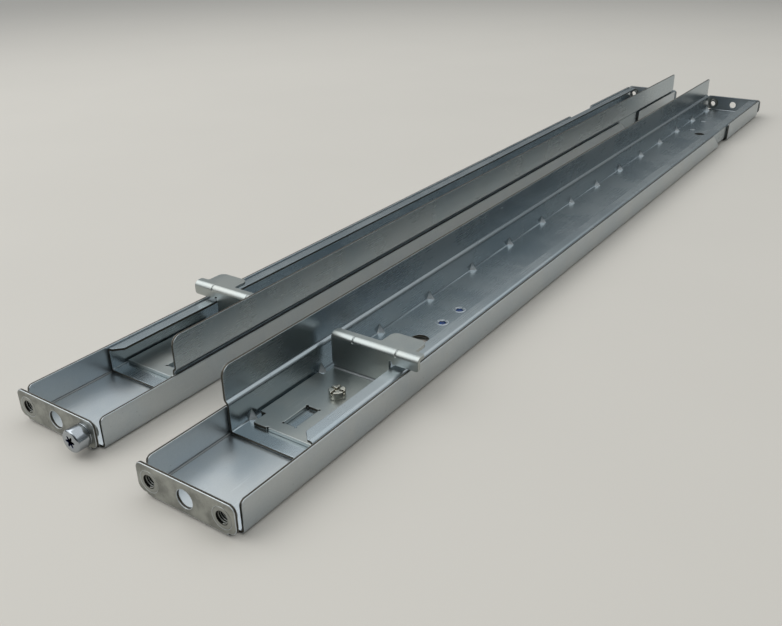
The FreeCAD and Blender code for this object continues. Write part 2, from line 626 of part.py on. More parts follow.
def slide_block():
    """Return the slide block: a bar in the slot on a flange that reaches under its edges."""
    half_length = SLIDE_BLOCK_LENGTH / 2
    half_width = SLIDE_SLOT_WIDTH / 2 - BLOCK_GAP
    reach = SLIDE_BLOCK_FLANGE - BLOCK_END_GAP
    layers = [(0, BLOCK_FLANGE_TOP, FLOOR_BOTTOM), (reach, BLOCK_BOTTOM, BLOCK_FLANGE_TOP)]
    parts = []
    for extra, low, high in layers:
        x, y = half_length + extra, half_width + extra
        corners = [(-x, -y + SLIDE_BLOCK_CHAMFER), (-x + SLIDE_BLOCK_CHAMFER, -y)]
        corners += [(x - SLIDE_BLOCK_CHAMFER, -y), (x, -y + SLIDE_BLOCK_CHAMFER)]
        corners += [(-a, -b) for a, b in corners]
        bar = bar_along_z(outline(corners), low, high)
        parts.append(bar.translated(V(SLIDE_BLOCK_CENTRE, 0, 0)))
    slide = parts[0].fuse(parts[1])
    for x in SLIDE_SCREWS:
        hole_diameter = SLIDE_SCREW_DIAMETER + 2 * THREAD_GAP
        slide = slide.cut(rod_along_z(hole_diameter, BLOCK_BOTTOM, FLOOR_BOTTOM, x, 0))
    return slide.removeSplitter()


def rear_rivets():
    """Return the four rivets that hold the rear bracket, flush underneath."""
    rivets = []
    for x, y in rivet_places():
        head = rod_along_z(RIVET_HEAD_DIAMETER, FLOOR_TOP, FLOOR_TOP + RIVET_HEAD_HEIGHT, x, y)
        shank = rod_along_z(RIVET_DIAMETER, FLOOR_GAP, FLOOR_TOP, x, y)
        rivets.append(head.fuse(shank))
    return Part.makeCompound(rivets)


def clinch_nuts():
    """Return a pair of clinch nuts as they sit in the front end plate."""
    nuts = []
    for y in (-THREAD_SPACING / 2, THREAD_SPACING / 2):
        shank = rod_along_x(NUT_SHANK_DIAMETER, 0, CHANNEL_SHEET, y, HOLE_HEIGHT)
        collar_end = CHANNEL_SHEET + NUT_COLLAR_HEIGHT
        collar = rod_along_x(NUT_COLLAR_DIAMETER, CHANNEL_SHEET, collar_end, y, HOLE_HEIGHT)
        bore = rod_along_x(THREAD_MINOR_DIAMETER, -MARGIN, collar_end + MARGIN, y, HOLE_HEIGHT)
        nuts.append(shank.fuse(collar).cut(bore).removeSplitter())
    return Part.makeCompound(nuts)


def rear_nuts():
    """Return the rear end plate's pair of clinch nuts."""
    return clinch_nuts().mirror(V(0, 0, 0), V(1, 0, 0)).translated(V(OVERALL_LENGTH, 0, 0))


def locating_stud():
    """Return the locating stud, screwed into the nut on the ledge's side."""
    y = THREAD_SPACING / 2
    groove_start = -STUD_FOOT_HEIGHT - STUD_GROOVE_WIDTH
    foot = rod_along_x(STUD_FOOT_DIAMETER, -STUD_FOOT_HEIGHT, 0, y, HOLE_HEIGHT)
    groove = rod_along_x(STUD_GROOVE_DIAMETER, groove_start, -STUD_FOOT_HEIGHT, y, HOLE_HEIGHT)
    barrel = rod_along_x(STUD_DIAMETER, -STUD_LENGTH, groove_start, y, HOLE_HEIGHT)
    barrel = barrel.makeChamfer(STUD_TIP_CHAMFER, edges_at(barrel, x=-STUD_LENGTH)[:1])
    socket_end = STUD_SOCKET_DEPTH - STUD_LENGTH
    socket = rod_along_x(STUD_SOCKET_DIAMETER, -STUD_LENGTH, socket_end, y, HOLE_HEIGHT)
    thread_diameter = THREAD_MINOR_DIAMETER - 2 * THREAD_GAP
    thread = rod_along_x(thread_diameter, 0, STUD_THREAD_LENGTH, y, HOLE_HEIGHT)
    return barrel.cut(socket).fuse([groove, foot, thread]).removeSplitter()


# --- Assembly ---------------------------------------------------------------

def rail_pieces():
    """Return every piece of one rail by name, in the rail's own frame."""
    return {
        "front_channel": front_channel(),
        "front_nuts": clinch_nuts(),
        "ledge_rail": ledge_rail(),
        "slide_block": slide_block(),
        "slide_screws": slide_screws(),
        "stop_bracket": stop_bracket(),
        "stop_screw": stop_screw(),
        "rear_bracket": rear_bracket(),
        "rear_rivets": rear_rivets(),
        "rear_nuts": rear_nuts(),
    }


def placed(piece, side):
    """Move a piece from the rail's own frame to its place in the pair."""
    sign = 1 if side == "left" else -1
    if side == "left":
        piece = piece.mirror(V(0, 0, 0), V(0, 1, 0))
    front = -OVERALL_LENGTH / 2 + sign * RAIL_STAGGER / 2
    return piece.translated(V(front, sign * RAIL_SPACING / 2, 0))


def main():
    """Build the pair and write one STEP file per node."""
    os.makedirs("parts", exist_ok=True)
    pieces = rail_pieces()
    nodes = {}
    for side in ("right", "left"):
        for name, piece in pieces.items():
            nodes[side + "_" + name] = placed(piece, side)
    nodes["left_locating_stud"] = placed(locating_stud(), "left")
    for name, shape in nodes.items():
        shape.exportStep("parts/" + name + ".step")
        print(name, len(shape.Solids), round(shape.Volume, 2), shape.isValid())


main()
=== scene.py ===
"""Sliding server rail pair: zinc-plated sheet pieces, their hardware, the studio and the camera."""

from __future__ import annotations

import logging
import math
from dataclasses import dataclass
from enum import Enum
from typing import Callable, Iterable, Sequence

import bmesh
import bpy
from mathutils import Matrix, Vector


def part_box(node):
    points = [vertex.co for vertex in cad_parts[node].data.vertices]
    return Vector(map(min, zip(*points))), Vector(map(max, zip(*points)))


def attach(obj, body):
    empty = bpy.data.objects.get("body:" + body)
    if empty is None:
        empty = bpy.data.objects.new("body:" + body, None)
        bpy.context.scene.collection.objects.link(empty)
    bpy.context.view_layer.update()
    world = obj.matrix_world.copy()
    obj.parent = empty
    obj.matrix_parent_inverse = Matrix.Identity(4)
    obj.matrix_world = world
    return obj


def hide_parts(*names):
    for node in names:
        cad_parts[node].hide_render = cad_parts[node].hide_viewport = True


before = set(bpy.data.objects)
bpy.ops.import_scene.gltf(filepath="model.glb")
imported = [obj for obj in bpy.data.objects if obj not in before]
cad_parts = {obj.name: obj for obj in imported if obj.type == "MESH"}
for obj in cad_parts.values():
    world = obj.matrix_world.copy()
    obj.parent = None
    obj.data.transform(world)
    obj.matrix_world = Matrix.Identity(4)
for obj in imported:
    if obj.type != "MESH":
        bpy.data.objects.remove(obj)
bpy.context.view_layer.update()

log = logging.getLogger("rail_pair")

MM = 0.001

Colour = tuple[float, float, float]
Piece = bpy.types.Object
Mesh = bmesh.types.BMesh
Face = bmesh.types.BMFace
Edge = bmesh.types.BMEdge
Socket = bpy.types.NodeSocket
Sockets = dict[str, Socket]
Value = float | Sequence[float] | Socket


class Side(Enum):
    """The two rails of the pair."""

    RIGHT = "right"
    LEFT = "left"


class Grain(Enum):
    """Which way a sheet's rolling streaks run, as the axis that they follow."""

    ALONG_RAIL = 0
    ACROSS_RAIL = 1


class Axis(Enum):
    """The axis that a turned piece is spun round."""

    X = 0
    Z = 2


# --- Node trees --------------------------------------------------------------


class Graph:
    """Short calls for building a node tree, where any input is a value or a socket.

    Attributes:
        tree: the node tree.
    """

    def __init__(self, tree: bpy.types.NodeTree) -> None:
        """Take over an empty node tree."""
        self.tree = tree

    def add(
        self, kind: str, inputs: dict[str | int, object] | None = None, **settings: object
    ) -> bpy.types.Node:
        """Add a node.

        Args:
            kind: the node's type name.
            inputs: values or sockets by input name or number.
            settings: the node's own properties.

        Returns:
            The new node.
        """
        node = self.tree.nodes.new(kind)
        for name, value in settings.items():
            setattr(node, name, value)
        for name, value in (inputs or {}).items():
            self.feed(node.inputs[name], value)
        return node

    def feed(self, socket: Socket, value: object) -> None:
        """Give an input a value, or link it to another node's output."""
        if isinstance(value, Socket):
            self.tree.links.new(value, socket)
        else:
            socket.default_value = value

    def plus(self, first: Value, second: Value, clamp: bool = False) -> Socket:
        """Return a sum, kept between 0 and 1 if clamped."""
        inputs = {0: first, 1: second}
        return self.add("ShaderNodeMath", inputs, operation="ADD", use_clamp=clamp).outputs[0]

    def minus(self, first: Value, second: Value) -> Socket:
        """Return a difference."""
        return self.add("ShaderNodeMath", {0: first, 1: second}, operation="SUBTRACT").outputs[0]

    def times(self, first: Value, second: Value) -> Socket:
        """Return a product."""
        return self.add("ShaderNodeMath", {0: first, 1: second}, operation="MULTIPLY").outputs[0]

    def over(self, first: Value, second: Value) -> Socket:
        """Return a quotient."""
        return self.add("ShaderNodeMath", {0: first, 1: second}, operation="DIVIDE").outputs[0]

    def spread(
        self, value: Value, low: float, high: float, to_low: float = 0.0, to_high: float = 1.0
    ) -> Socket:
        """Return a value carried from one range to another, smoothly and clamped."""
        inputs = {
            "Value": value, "From Min": low, "From Max": high, "To Min": to_low, "To Max": to_high}
        return self.add(
            "ShaderNodeMapRange", inputs, interpolation_type="SMOOTHSTEP").outputs["Result"]

    def noise(
        self, vector: Value, scale: Value, detail: float = 3.0, roughness: float = 0.5
    ) -> Socket:
        """Return the value of a noise texture."""
        inputs = {"Vector": vector, "Scale": scale, "Detail": detail, "Roughness": roughness}
        return self.add("ShaderNodeTexNoise", inputs).outputs["Fac"]

    def mix(self, factor: Value, first: Value, second: Value) -> Socket:
        """Return a mix of two colours."""
        node = self.add("ShaderNodeMix", data_type="RGBA")
        sockets = [s for s in node.inputs if s.enabled]
        for socket, value in zip(sockets, (factor, first, second)):
            self.feed(socket, value)
        return next(s for s in node.outputs if s.enabled)

    def vector(self, x: Value, y: Value = 0.0, z: Value = 0.0) -> Socket:
        """Return a vector put together from three values."""
        return self.add("ShaderNodeCombineXYZ", {0: x, 1: y, 2: z}).outputs[0]

    def point(self) -> Socket:
        """Return the shaded point, in metres on the object."""
        return self.add("ShaderNodeTexCoord").outputs["Object"]

    def point_parts(self) -> list[Socket]:
        """Return the x, y and z of the shaded point, in metres on the object."""
        return list(self.add("ShaderNodeSeparateXYZ", {0: self.point()}).outputs)

    def attribute(self, name: str) -> Socket:
        """Return a face attribute of the mesh."""
        return self.add("ShaderNodeAttribute", attribute_name=name).outputs["Fac"]


def node_group(
    name: str, kind: str, inputs: Sequence[tuple[str, str, object]],
    outputs: Sequence[tuple[str, str]], draw: Callable[[Graph, Sockets], Sequence[Socket]]
) -> bpy.types.NodeTree:
    """Return a node group, building it the first time.

    Args:
        name: the group's name.
        kind: its tree type.
        inputs: (name, socket type, default) of each input.
        outputs: (name, socket type) of each output.
        draw: builds the group's nodes and returns its output values in order.

    Returns:
        The group.
    """
    known = bpy.data.node_groups.get(name)
    if known:
        return known
    tree = bpy.data.node_groups.new(name, kind)
    for title, socket_type, default in inputs:
        socket = tree.interface.new_socket(title, in_out="INPUT", socket_type=socket_type)
        if default is not None:
            socket.default_value = default
    for title, socket_type in outputs:
        tree.interface.new_socket(title, in_out="OUTPUT", socket_type=socket_type)
    graph = Graph(tree)
    source = graph.add("NodeGroupInput")
    values = draw(graph, {title: source.outputs[title] for title, _, _ in inputs})
    graph.add("NodeGroupOutput", dict(enumerate(values)))
    return tree


@dataclass(frozen=True)
class Effect:
    """A shader effect kept as one node group, placed in as many materials as need it.

    Attributes:
        name: the group's name.
        inputs: (name, default) of each number that a material may set.
        outputs: names of the values that it puts out.
        draw: builds the group's nodes and returns its output values in order.
    """

    name: str
    inputs: tuple[tuple[str, float], ...]
    outputs: tuple[str, ...]
    draw: Callable[[Graph, Sockets], Sequence[Socket]]

    def group(self) -> bpy.types.NodeTree:
        """Return the group, building it the first time."""
        number = "NodeSocketFloat"
        return node_group(
            self.name, "ShaderNodeTree", [(name, number, default) for name, default in self.inputs],
            [(name, number) for name in self.outputs], self.draw)

    def place(self, graph: Graph, **values: float) -> list[Socket]:
        """Place the effect in a material.

        Args:
            graph: the material's graph.
            values: inputs by name, with underscores for spaces.

        Returns:
            The outputs, in order.
        """
        node = graph.tree.nodes.new("ShaderNodeGroup")
        node.node_tree = self.group()
        for name, value in values.items():
            graph.feed(node.inputs[name.replace("_", " ")], value)
        return [node.outputs[name] for name in self.outputs]


def draw_rolled_grain(graph: Graph, given: Sockets) -> list[Socket]:
    """Draw the streaks of the rolling mill, long along the grain and hair-fine across it."""
    x, y, z = graph.point_parts()
    turned = given["Across"]
    unturned = graph.minus(1.0, turned)
    along = graph.plus(graph.times(x, unturned), graph.times(y, turned))
    aside = graph.plus(graph.times(y, unturned), graph.times(x, turned))
    width = given["Streak width"]
    stretched = graph.vector(
        graph.over(along, given["Streak length"]), graph.over(aside, width), graph.over(z, width))
    return [graph.noise(stretched, 1.0, detail=5.0, roughness=0.65)]


def draw_plating_clouds(graph: Graph, given: Sockets) -> list[Socket]:
    """Draw the soft clouds of a passivated zinc layer, and the fine crystals inside them."""
    point = graph.point()
    clouds = graph.noise(point, graph.over(1.0, given["Cloud size"]), detail=4.0, roughness=0.6)
    crystals = graph.noise(point, graph.over(1.0, given["Crystal size"]), detail=2.0)
    return [graph.spread(clouds, low=0.34, high=0.66), crystals]


def draw_handling_marks(graph: Graph, given: Sockets) -> list[Socket]:
    """Draw sparse rub marks along the rail, and small specks where the plating is damaged."""
    marks_per_metre = 900.0
    patches_per_metre = 28.0
    specks_per_metre = 260.0
    x, y, z = graph.point_parts()
    stretched = graph.vector(
        graph.over(x, given["Mark length"]), graph.times(y, marks_per_metre),
        graph.times(z, marks_per_metre))
    lines = graph.noise(stretched, 1.0, detail=1.0)
    patches = graph.noise(graph.point(), patches_per_metre, detail=1.0)
    rubs = graph.times(
        graph.spread(lines, low=0.62, high=0.72), graph.spread(patches, low=0.5, high=0.62))
    cells = graph.add("ShaderNodeTexVoronoi", {
        "Vector": graph.point(), "Scale": specks_per_metre}).outputs["Distance"]
    specks = graph.spread(cells, low=0.05, high=0.09, to_low=1.0, to_high=0.0)
    return [rubs, graph.times(specks, given["Specks"])]


def draw_turned_rings(graph: Graph, given: Sockets) -> list[Socket]:
    """Draw the fine rings that a lathe tool leaves along a turned piece's axis."""
    x, _, z = graph.point_parts()
    ring = graph.vector(graph.over(graph.plus(x, z), given["Feed"]))
    return [graph.noise(ring, 1.0, detail=2.0, roughness=0.7)]


ROLLED_GRAIN = Effect(
    "rolled_grain", (("Streak length", 0.05), ("Streak width", 0.0005), ("Across", 0.0)),
    ("Streaks",), draw_rolled_grain)
PLATING_CLOUDS = Effect(
    "plating_clouds", (("Cloud size", 0.03), ("Crystal size", 0.0006)), ("Clouds", "Crystals"),
    draw_plating_clouds)
HANDLING_MARKS = Effect(
    "handling_marks", (("Mark length", 0.02), ("Specks", 1.0)), ("Rubs", "Specks"),
    draw_handling_marks)
TURNED_RINGS = Effect("turned_rings", (("Feed", 0.00012),), ("Rings",), draw_turned_rings)


# --- Finishes ----------------------------------------------------------------

# Face marks: sheared edges and worn plates are the sheet's own colour; the third mark carries
# painted shade in inside bends, bores, keys and slots, the fourth a painted highlight on dart
# sides.
CUT_EDGE = "cut_edge"
WORN_PLATE = "worn_plate"
PAINTED_SHADE = "painted_shade"
PAINTED_HIGHLIGHT = "painted_highlight"


def opaque(colour: Colour, gain: float = 1.0) -> tuple[float, float, float, float]:
    """Return a colour scaled by gain, with full alpha."""
    return (colour[0] * gain, colour[1] * gain, colour[2] * gain, 1.0)


@dataclass(frozen=True)
class Finish:
    """A finish kept as one material.

    Attributes:
        name: the material's name.
        roughness: of the plain surface.
    """

    name: str
    roughness: float
    metallic = 1.0

    def material(self) -> bpy.types.Material:
        """Return the finish as a material, building it the first time."""
        known = bpy.data.materials.get(self.name)
        if known:
            return known
        material = bpy.data.materials.new(self.name)
        material.use_nodes = True
        material.node_tree.nodes.clear()
        graph = Graph(material.node_tree)
        surface = graph.add("ShaderNodeBsdfPrincipled")
        surface.inputs["Metallic"].default_value = self.metallic
        surface.inputs["Roughness"].default_value = self.roughness
        graph.add("ShaderNodeOutputMaterial", {"Surface": surface.outputs[0]})
        self.draw(graph, surface)
        return material

    def draw(self, graph: Graph, surface: bpy.types.Node) -> None:
        """Feed the Principled node; each kind of finish does it in its own way."""
        raise NotImplementedError


@dataclass(frozen=True)
class Wear:
    """How strongly each mark shows on a sheet's plating.

    Attributes:
        crystals: share of the crystals in the colour, with how pale they are.
        rubs: share of the rub marks in the colour, with how pale they are.
        specks: share of the specks in the colour, with how dark they are.
        stains: size in metres of the stains on a worn plate, with how dark they are.
        relief: shares of the streaks and the crystals in the relief.
        cut_relief: how much rougher the relief of a sheared edge is.
        bump: strength and depth in metres of the relief.
    """

    crystals: tuple[float, float] = (0.14, 1.25)
    rubs: tuple[float, float] = (0.3, 1.3)
    specks: tuple[float, float] = (0.35, 0.45)
    stains: tuple[float, float] = (0.007, 0.6)
    relief: tuple[float, float] = (0.3, 0.7)
    cut_relief: float = 2.5
    bump: tuple[float, float] = (0.05, 0.00003)


@dataclass(frozen=True)
class AddedRoughness:
    """What a sheet's plain roughness gains everywhere, and in each of its parts."""

    everywhere: float = -0.06
    streaks: float = 0.03
    clouds: float = 0.06
    worn_plate: float = 0.12
    bends_and_darts: float = 0.2
    cut_edge: float = 0.3


@dataclass(frozen=True)
class SheetZinc(Finish):
    """Blue-passivated zinc on rolled sheet, with dark sheared edges and dulled end plates.

    Attributes:
        cool: colour of the bluish part of the plating.
        warm: colour of its greyer clouds.
        grain: which way the rolling streaks run.
        cloud_size: of the colour clouds, in metres.
        sheared: colour of the cut edges.
        dulled: colour of the worn end plates.
        painted_bend_shade: colour of the painted shade in the inside bends.
        painted_dart_highlight: colour of the painted highlight on the darts' sides.
        wear: how strongly the marks show.
        added: what the parts add to the roughness.
    """

    cool: Colour
    warm: Colour
    grain: Grain = Grain.ALONG_RAIL
    cloud_size: float = 0.03
    sheared: Colour = (0.085, 0.078, 0.064)
    dulled: Colour = (0.42, 0.43, 0.40)
    painted_bend_shade: Colour = (0.24, 0.255, 0.26)
    painted_dart_highlight: Colour = (0.80, 0.84, 0.86)
    wear: Wear = Wear()
    added: AddedRoughness = AddedRoughness()

    def draw(self, graph: Graph, surface: bpy.types.Node) -> None:
        """Lay the marks over the plating, and feed colour, roughness and relief."""
        wear, added = self.wear, self.added
        streaks, = ROLLED_GRAIN.place(graph, Across=float(self.grain.value))
        clouds, crystals = PLATING_CLOUDS.place(graph, Cloud_size=self.cloud_size)
        stains, _ = PLATING_CLOUDS.place(graph, Cloud_size=wear.stains[0])
        rubs, specks = HANDLING_MARKS.place(graph)
        cut, worn, painted_shade, painted_highlight = (
            graph.attribute(name) for name in (CUT_EDGE, WORN_PLATE, PAINTED_SHADE, PAINTED_HIGHLIGHT))

        pale = graph.spread(crystals, low=0.3, high=0.7, to_high=wear.crystals[0])
        patina = graph.mix(stains, opaque(self.dulled), opaque(self.dulled, wear.stains[1]))
        colour = graph.mix(clouds, opaque(self.cool), opaque(self.warm))
        for mask, laid in (
            (pale, opaque(self.warm, wear.crystals[1])),
            (graph.times(rubs, wear.rubs[0]), opaque(self.warm, wear.rubs[1])),
            (graph.times(specks, wear.specks[0]), opaque(self.cool, wear.specks[1])),
            # worn end plates take their stained patina; inside bends get painted shade; dart sides
            # get a painted highlight
            (worn, patina), (painted_shade, opaque(self.painted_bend_shade)), (painted_highlight, opaque(self.painted_dart_highlight)),
            (cut, opaque(self.sheared)),
        ):
            colour = graph.mix(mask, colour, laid)
        graph.feed(surface.inputs["Base Color"], colour)

        rough = graph.plus(
            self.roughness + added.everywhere,
            graph.spread(streaks, low=0.3, high=0.7, to_high=added.streaks))
        for mask, gain in (
            (clouds, added.clouds), (worn, added.worn_plate),
            (graph.plus(painted_shade, painted_highlight), added.bends_and_darts), (cut, added.cut_edge),
        ):
            rough = graph.plus(rough, graph.times(mask, gain), clamp=mask is cut)
        graph.feed(surface.inputs["Roughness"], rough)

        relief = graph.plus(
            graph.times(streaks, wear.relief[0]), graph.times(crystals, wear.relief[1]))
        relief = graph.plus(relief, graph.times(cut, graph.times(crystals, wear.cut_relief)))
        add_bump(graph, surface, relief, *wear.bump)


@dataclass(frozen=True)
class TurnedMetal(Finish):
    """A small turned or headed piece: screws, rivets, nuts and the stud.

    Attributes:
        colour: of the plating.
        shade: colour in the darker rings.
        feed: spacing of the tool's rings, in metres.
        relief: strength of the rings' bump.
        relief_depth: of the bump, in metres.
        recess: painted shade inside its bore, slot or key.
    """

    colour: Colour
    shade: Colour
    feed: float = 0.00015
    relief: float = 0.15
    relief_depth: float = 0.00004
    recess: Colour = (0.03, 0.03, 0.03)

    def draw(self, graph: Graph, surface: bpy.types.Node) -> None:
        """Lay the tool's rings and faint clouds over the plating, with painted shade in the recess.
        """
        rings, = TURNED_RINGS.place(graph, Feed=self.feed)
        clouds, crystals = PLATING_CLOUDS.place(graph, Cloud_size=0.004, Crystal_size=0.0003)
        shaded = graph.spread(rings, low=0.3, high=0.7, to_high=0.6)
        colour = graph.mix(shaded, opaque(self.colour), opaque(self.shade))
        colour = graph.mix(graph.times(clouds, 0.3), colour, opaque(self.colour, 0.8))
        # painted shade inside the bore, slot or key
        colour = graph.mix(graph.attribute(PAINTED_SHADE), colour, opaque(self.recess))
        graph.feed(surface.inputs["Base Color"], colour)
        uneven = graph.spread(crystals, low=0.3, high=0.7, to_low=-0.04, to_high=0.08)
        graph.feed(surface.inputs["Roughness"], graph.plus(self.roughness, uneven, clamp=True))
        add_bump(graph, surface, rings, self.relief, self.relief_depth)


@dataclass(frozen=True)
class ThreadLock(Finish):
    """The dried blue compound in a screw's recess.

    Attributes:
        colour: of the compound.
        edge: colour where it is thin.
        relief: strength of its bump.
        relief_depth: of the bump, in metres.
    """

    colour: Colour
    edge: Colour
    relief: float = 0.5
    relief_depth: float = 0.0001
    metallic = 0.0

    def draw(self, graph: Graph, surface: bpy.types.Node) -> None:
        """Cloud the compound's colour and wrinkle it."""
        clouds, crystals = PLATING_CLOUDS.place(graph, Cloud_size=0.0012, Crystal_size=0.0002)
        colour = graph.mix(clouds, opaque(self.colour), opaque(self.edge))
        graph.feed(surface.inputs["Base Color"], colour)
        add_bump(graph, surface, crystals, self.relief, self.relief_depth)


def add_bump(
    graph: Graph, surface: bpy.types.Node, height: Socket, strength: float, distance: float
) -> None:
    """Give a surface its fine relief.

    Args:
        graph: the material's graph.
        surface: its Principled node.
        height: the relief.
        strength: from 0 to 1.
        distance: the relief's depth in metres.
    """
    bump = graph.add(
        "ShaderNodeBump", {"Height": height, "Strength": strength, "Distance": distance})
    graph.feed(surface.inputs["Normal"], bump.outputs["Normal"])


CHANNEL_ZINC = SheetZinc(
    "zinc_channel_plating", 0.38, cool=(0.475, 0.523, 0.555), warm=(0.53, 0.56, 0.57))
LEDGE_ZINC = SheetZinc(
    "zinc_ledge_plating", 0.28, cool=(0.37, 0.43, 0.465), warm=(0.42, 0.465, 0.485),
    cloud_size=0.05, painted_bend_shade=(0.32, 0.37, 0.40))
BRACKET_ZINC = SheetZinc(
    "zinc_bracket_plating", 0.36, cool=(0.36, 0.392, 0.388), warm=(0.405, 0.425, 0.408),
    grain=Grain.ACROSS_RAIL, cloud_size=0.02)
NUT_ZINC = TurnedMetal(
    "nut_zinc_turned", 0.40, colour=(0.37, 0.38, 0.36), shade=(0.30, 0.31, 0.29),
    recess=(0.010, 0.010, 0.009))
BLOCK_STEEL = TurnedMetal(
    "block_steel_turned", 0.40, colour=(0.46, 0.47, 0.48), shade=(0.36, 0.37, 0.38))
SCREW_ZINC = TurnedMetal(
    "screw_zinc_turned", 0.22, colour=(0.58, 0.63, 0.68), shade=(0.42, 0.47, 0.53),
    recess=(0.01, 0.03, 0.10))
SCREW_NICKEL = TurnedMetal(
    "screw_nickel_turned", 0.18, colour=(0.62, 0.61, 0.54), shade=(0.44, 0.43, 0.38),
    recess=(0.04, 0.038, 0.03))
RIVET_ZINC = TurnedMetal(
    "rivet_zinc_turned", 0.35, colour=(0.36, 0.39, 0.41), shade=(0.30, 0.33, 0.35))
STUD_BRIGHT = TurnedMetal(
    "stud_bright_turned", 0.13, colour=(0.43, 0.46, 0.49), shade=(0.34, 0.37, 0.40),
    relief=0.05, recess=(0.005, 0.010, 0.06))
BLUE_LOCK = ThreadLock(
    "blue_thread_lock", 0.42, colour=(0.004, 0.02, 0.10), edge=(0.01, 0.07, 0.26))


# --- Meshes ------------------------------------------------------------------

MERGE_DISTANCE = 1e-7
FLAT_ANGLE = math.radians(0.5)
PATCH_ANGLE = math.radians(30.0)
SHARP_ANGLE = math.radians(32.0)
CORNER_ANGLE = math.radians(60.0)


def smooth_mesh(mesh: bpy.types.Mesh) -> None:
    """Shade a mesh smooth, with its sharp edges kept."""
    mesh.shade_smooth()
    mesh.set_sharp_from_angle(angle=SHARP_ANGLE)


def mark_of(holds: bool) -> float:
    """Return a face attribute's value for a yes or a no."""
    return 1.0 if holds else 0.0


def finish_object(
    name: str, mesh: bpy.types.Mesh, material: bpy.types.Material
) -> Piece:
    """Link a mesh to the scene as an object with one material."""
    piece = bpy.data.objects.new(name, mesh)
    bpy.context.scene.collection.objects.link(piece)
    if not mesh.materials:
        mesh.materials.append(material)
    return piece


@dataclass
class Dressing:
    """A solid of the frame with its round faces made smooth and its corners broken.

    Attributes:
        node: the frame's node.
        body: the body that it rides on.
        slot: its material slot, not used.
        finish: its finish.
        break_width: of the small round along each corner, in metres.
    """

    node: str
    body: str
    slot: str
    finish: Finish
    break_width: float = 0.06 * MM

    def build(self) -> Piece:
        """Make the dressed copy and let it stand for the node."""
        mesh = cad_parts[self.node].data.copy()
        mesh.name = self.node + "_dressed"
        mesh.materials.clear()
        work = bmesh.new()
        work.from_mesh(mesh)
        bmesh.ops.remove_doubles(work, verts=work.verts, dist=MERGE_DISTANCE)
        bmesh.ops.dissolve_limit(
            work, angle_limit=FLAT_ANGLE, verts=work.verts, edges=work.edges)
        self.prepare(work)
        self.break_corners(work)
        work.to_mesh(mesh)
        work.free()
        piece = finish_object(self.node + "_dressed", mesh, self.finish.material())
        self.settle_normals(piece)
        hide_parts(self.node)
        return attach(piece, self.body)

    def prepare(self, work: Mesh) -> None:
        """Change or mark the mesh before its corners are broken; a plain piece needs nothing."""

    def break_corners(self, work: Mesh) -> None:
        """Round the corners off, and leave the rounds as bright as the flats."""
        corners = [edge for edge in work.edges if edge.calc_face_angle(0.0) > CORNER_ANGLE]
        rounds = bmesh.ops.bevel(
            work, geom=corners, offset=self.break_width, offset_type="OFFSET", segments=2,
            profile=0.5, affect="EDGES", clamp_overlap=False)["faces"]
        for layer in work.faces.layers.float.values():
            for face in rounds:
                face[layer] = 0.0

    def settle_normals(self, piece: Piece) -> None:
        """Keep the flats flat and the rounds smooth."""
        smooth_mesh(piece.data)
        weighted = piece.modifiers.new("flat_normals", "WEIGHTED_NORMAL")
        weighted.keep_sharp = True
        weighted.weight = 100


@dataclass
class SlidingDressing(Dressing):
    """A slide block, a little short so that it stops clear of the round ends of its slot.

    Attributes:
        end_room: taken off each end, in metres.
        end_share: how much of its length each chamfered end takes up.
    """

    end_room: float = 0.3 * MM
    end_share: float = 0.2

    def prepare(self, work: Mesh) -> None:
        """Draw the chamfered ends in toward the middle."""
        along = [vert.co.x for vert in work.verts]
        low, high = min(along), max(along)
        chamfered = self.end_share * (high - low)
        for vert in work.verts:
            if vert.co.x < low + chamfered:
                vert.co.x += self.end_room
            elif vert.co.x > high - chamfered:
                vert.co.x -= self.end_room


@dataclass
class SlottedDressing(Dressing):
    """An upright slotted screw, whose slot is marked for painted shade.

    Attributes:
        slot_reach: how far the slot's floor and walls lie from the axis, in metres.
        top_margin: how far below the top a face of the slot lies, in metres.
    """

    slot_reach: float = 1.4 * MM
    top_margin: float = 0.05 * MM

    def prepare(self, work: Mesh) -> None:
        """Store 1 on the faces of the slot, where shade is painted."""
        inside = work.faces.layers.float.new(PAINTED_SHADE)
        low, high = (Vector(corner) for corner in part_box(self.node))
        axis = (low + high) / 2
        for face in work.faces:
            centre = face.calc_center_median()
            near = (centre - axis).to_2d().length < self.slot_reach
            face[inside] = mark_of(near and centre.z < high.z - self.top_margin)


@dataclass
class SheetDressing(Dressing):
    """A sheet piece, whose sheared edges and end plates are marked for its finish.

    Attributes:
        thickness: of the sheet, in metres.
        worn_ends: whether its end plate is dulled by handling.
        punched: whether it has stiffening darts, whose sides get a painted highlight.
    """

    break_width: float = 0.24 * MM
    thickness: float = 1.2 * MM
    worn_ends: bool = False
    punched: bool = False

    def prepare(self, work: Mesh) -> None:
        """Store 1 on sheared edges, end plates' flat faces, inside bends (for painted shade) and
        punched darts (for a painted highlight).
        """
        names = (CUT_EDGE, WORN_PLATE, PAINTED_SHADE, PAINTED_HIGHLIGHT)
        for name in names:
            work.faces.layers.float.new(name)
        cut, worn, painted_shade, painted_highlight = (work.faces.layers.float[name] for name in names)
        for patch in smooth_patches(work, PATCH_ANGLE):
            sheared = self.is_sheared(patch)
            for face in patch:
                face[cut] = mark_of(sheared)
                face[worn] = mark_of(self.worn_ends and not sheared and is_end_face(face))
                # inside bends are marked for painted shade
                face[painted_shade] = mark_of(is_creased(face))
                # dart sides are marked for a painted highlight
                face[painted_highlight] = mark_of(self.punched and is_oblique(face))

    def is_sheared(self, patch: list[Face]) -> bool:
        """Tell whether a patch is a cut edge: as narrow as the sheet, and square to its sides."""
        spare_width, square_share = 1.1, 0.8
        area = sum(face.calc_area() for face in patch)
        inside = set(patch)
        rim = [edge for face in patch for edge in face.edges if is_rim(edge, inside)]
        length = sum(edge.calc_length() for edge in rim)
        square = sum(edge.calc_length() for edge in rim if is_square(edge))
        if not length:
            return False
        narrow = 2 * area / length < spare_width * self.thickness
        return narrow and square > square_share * length


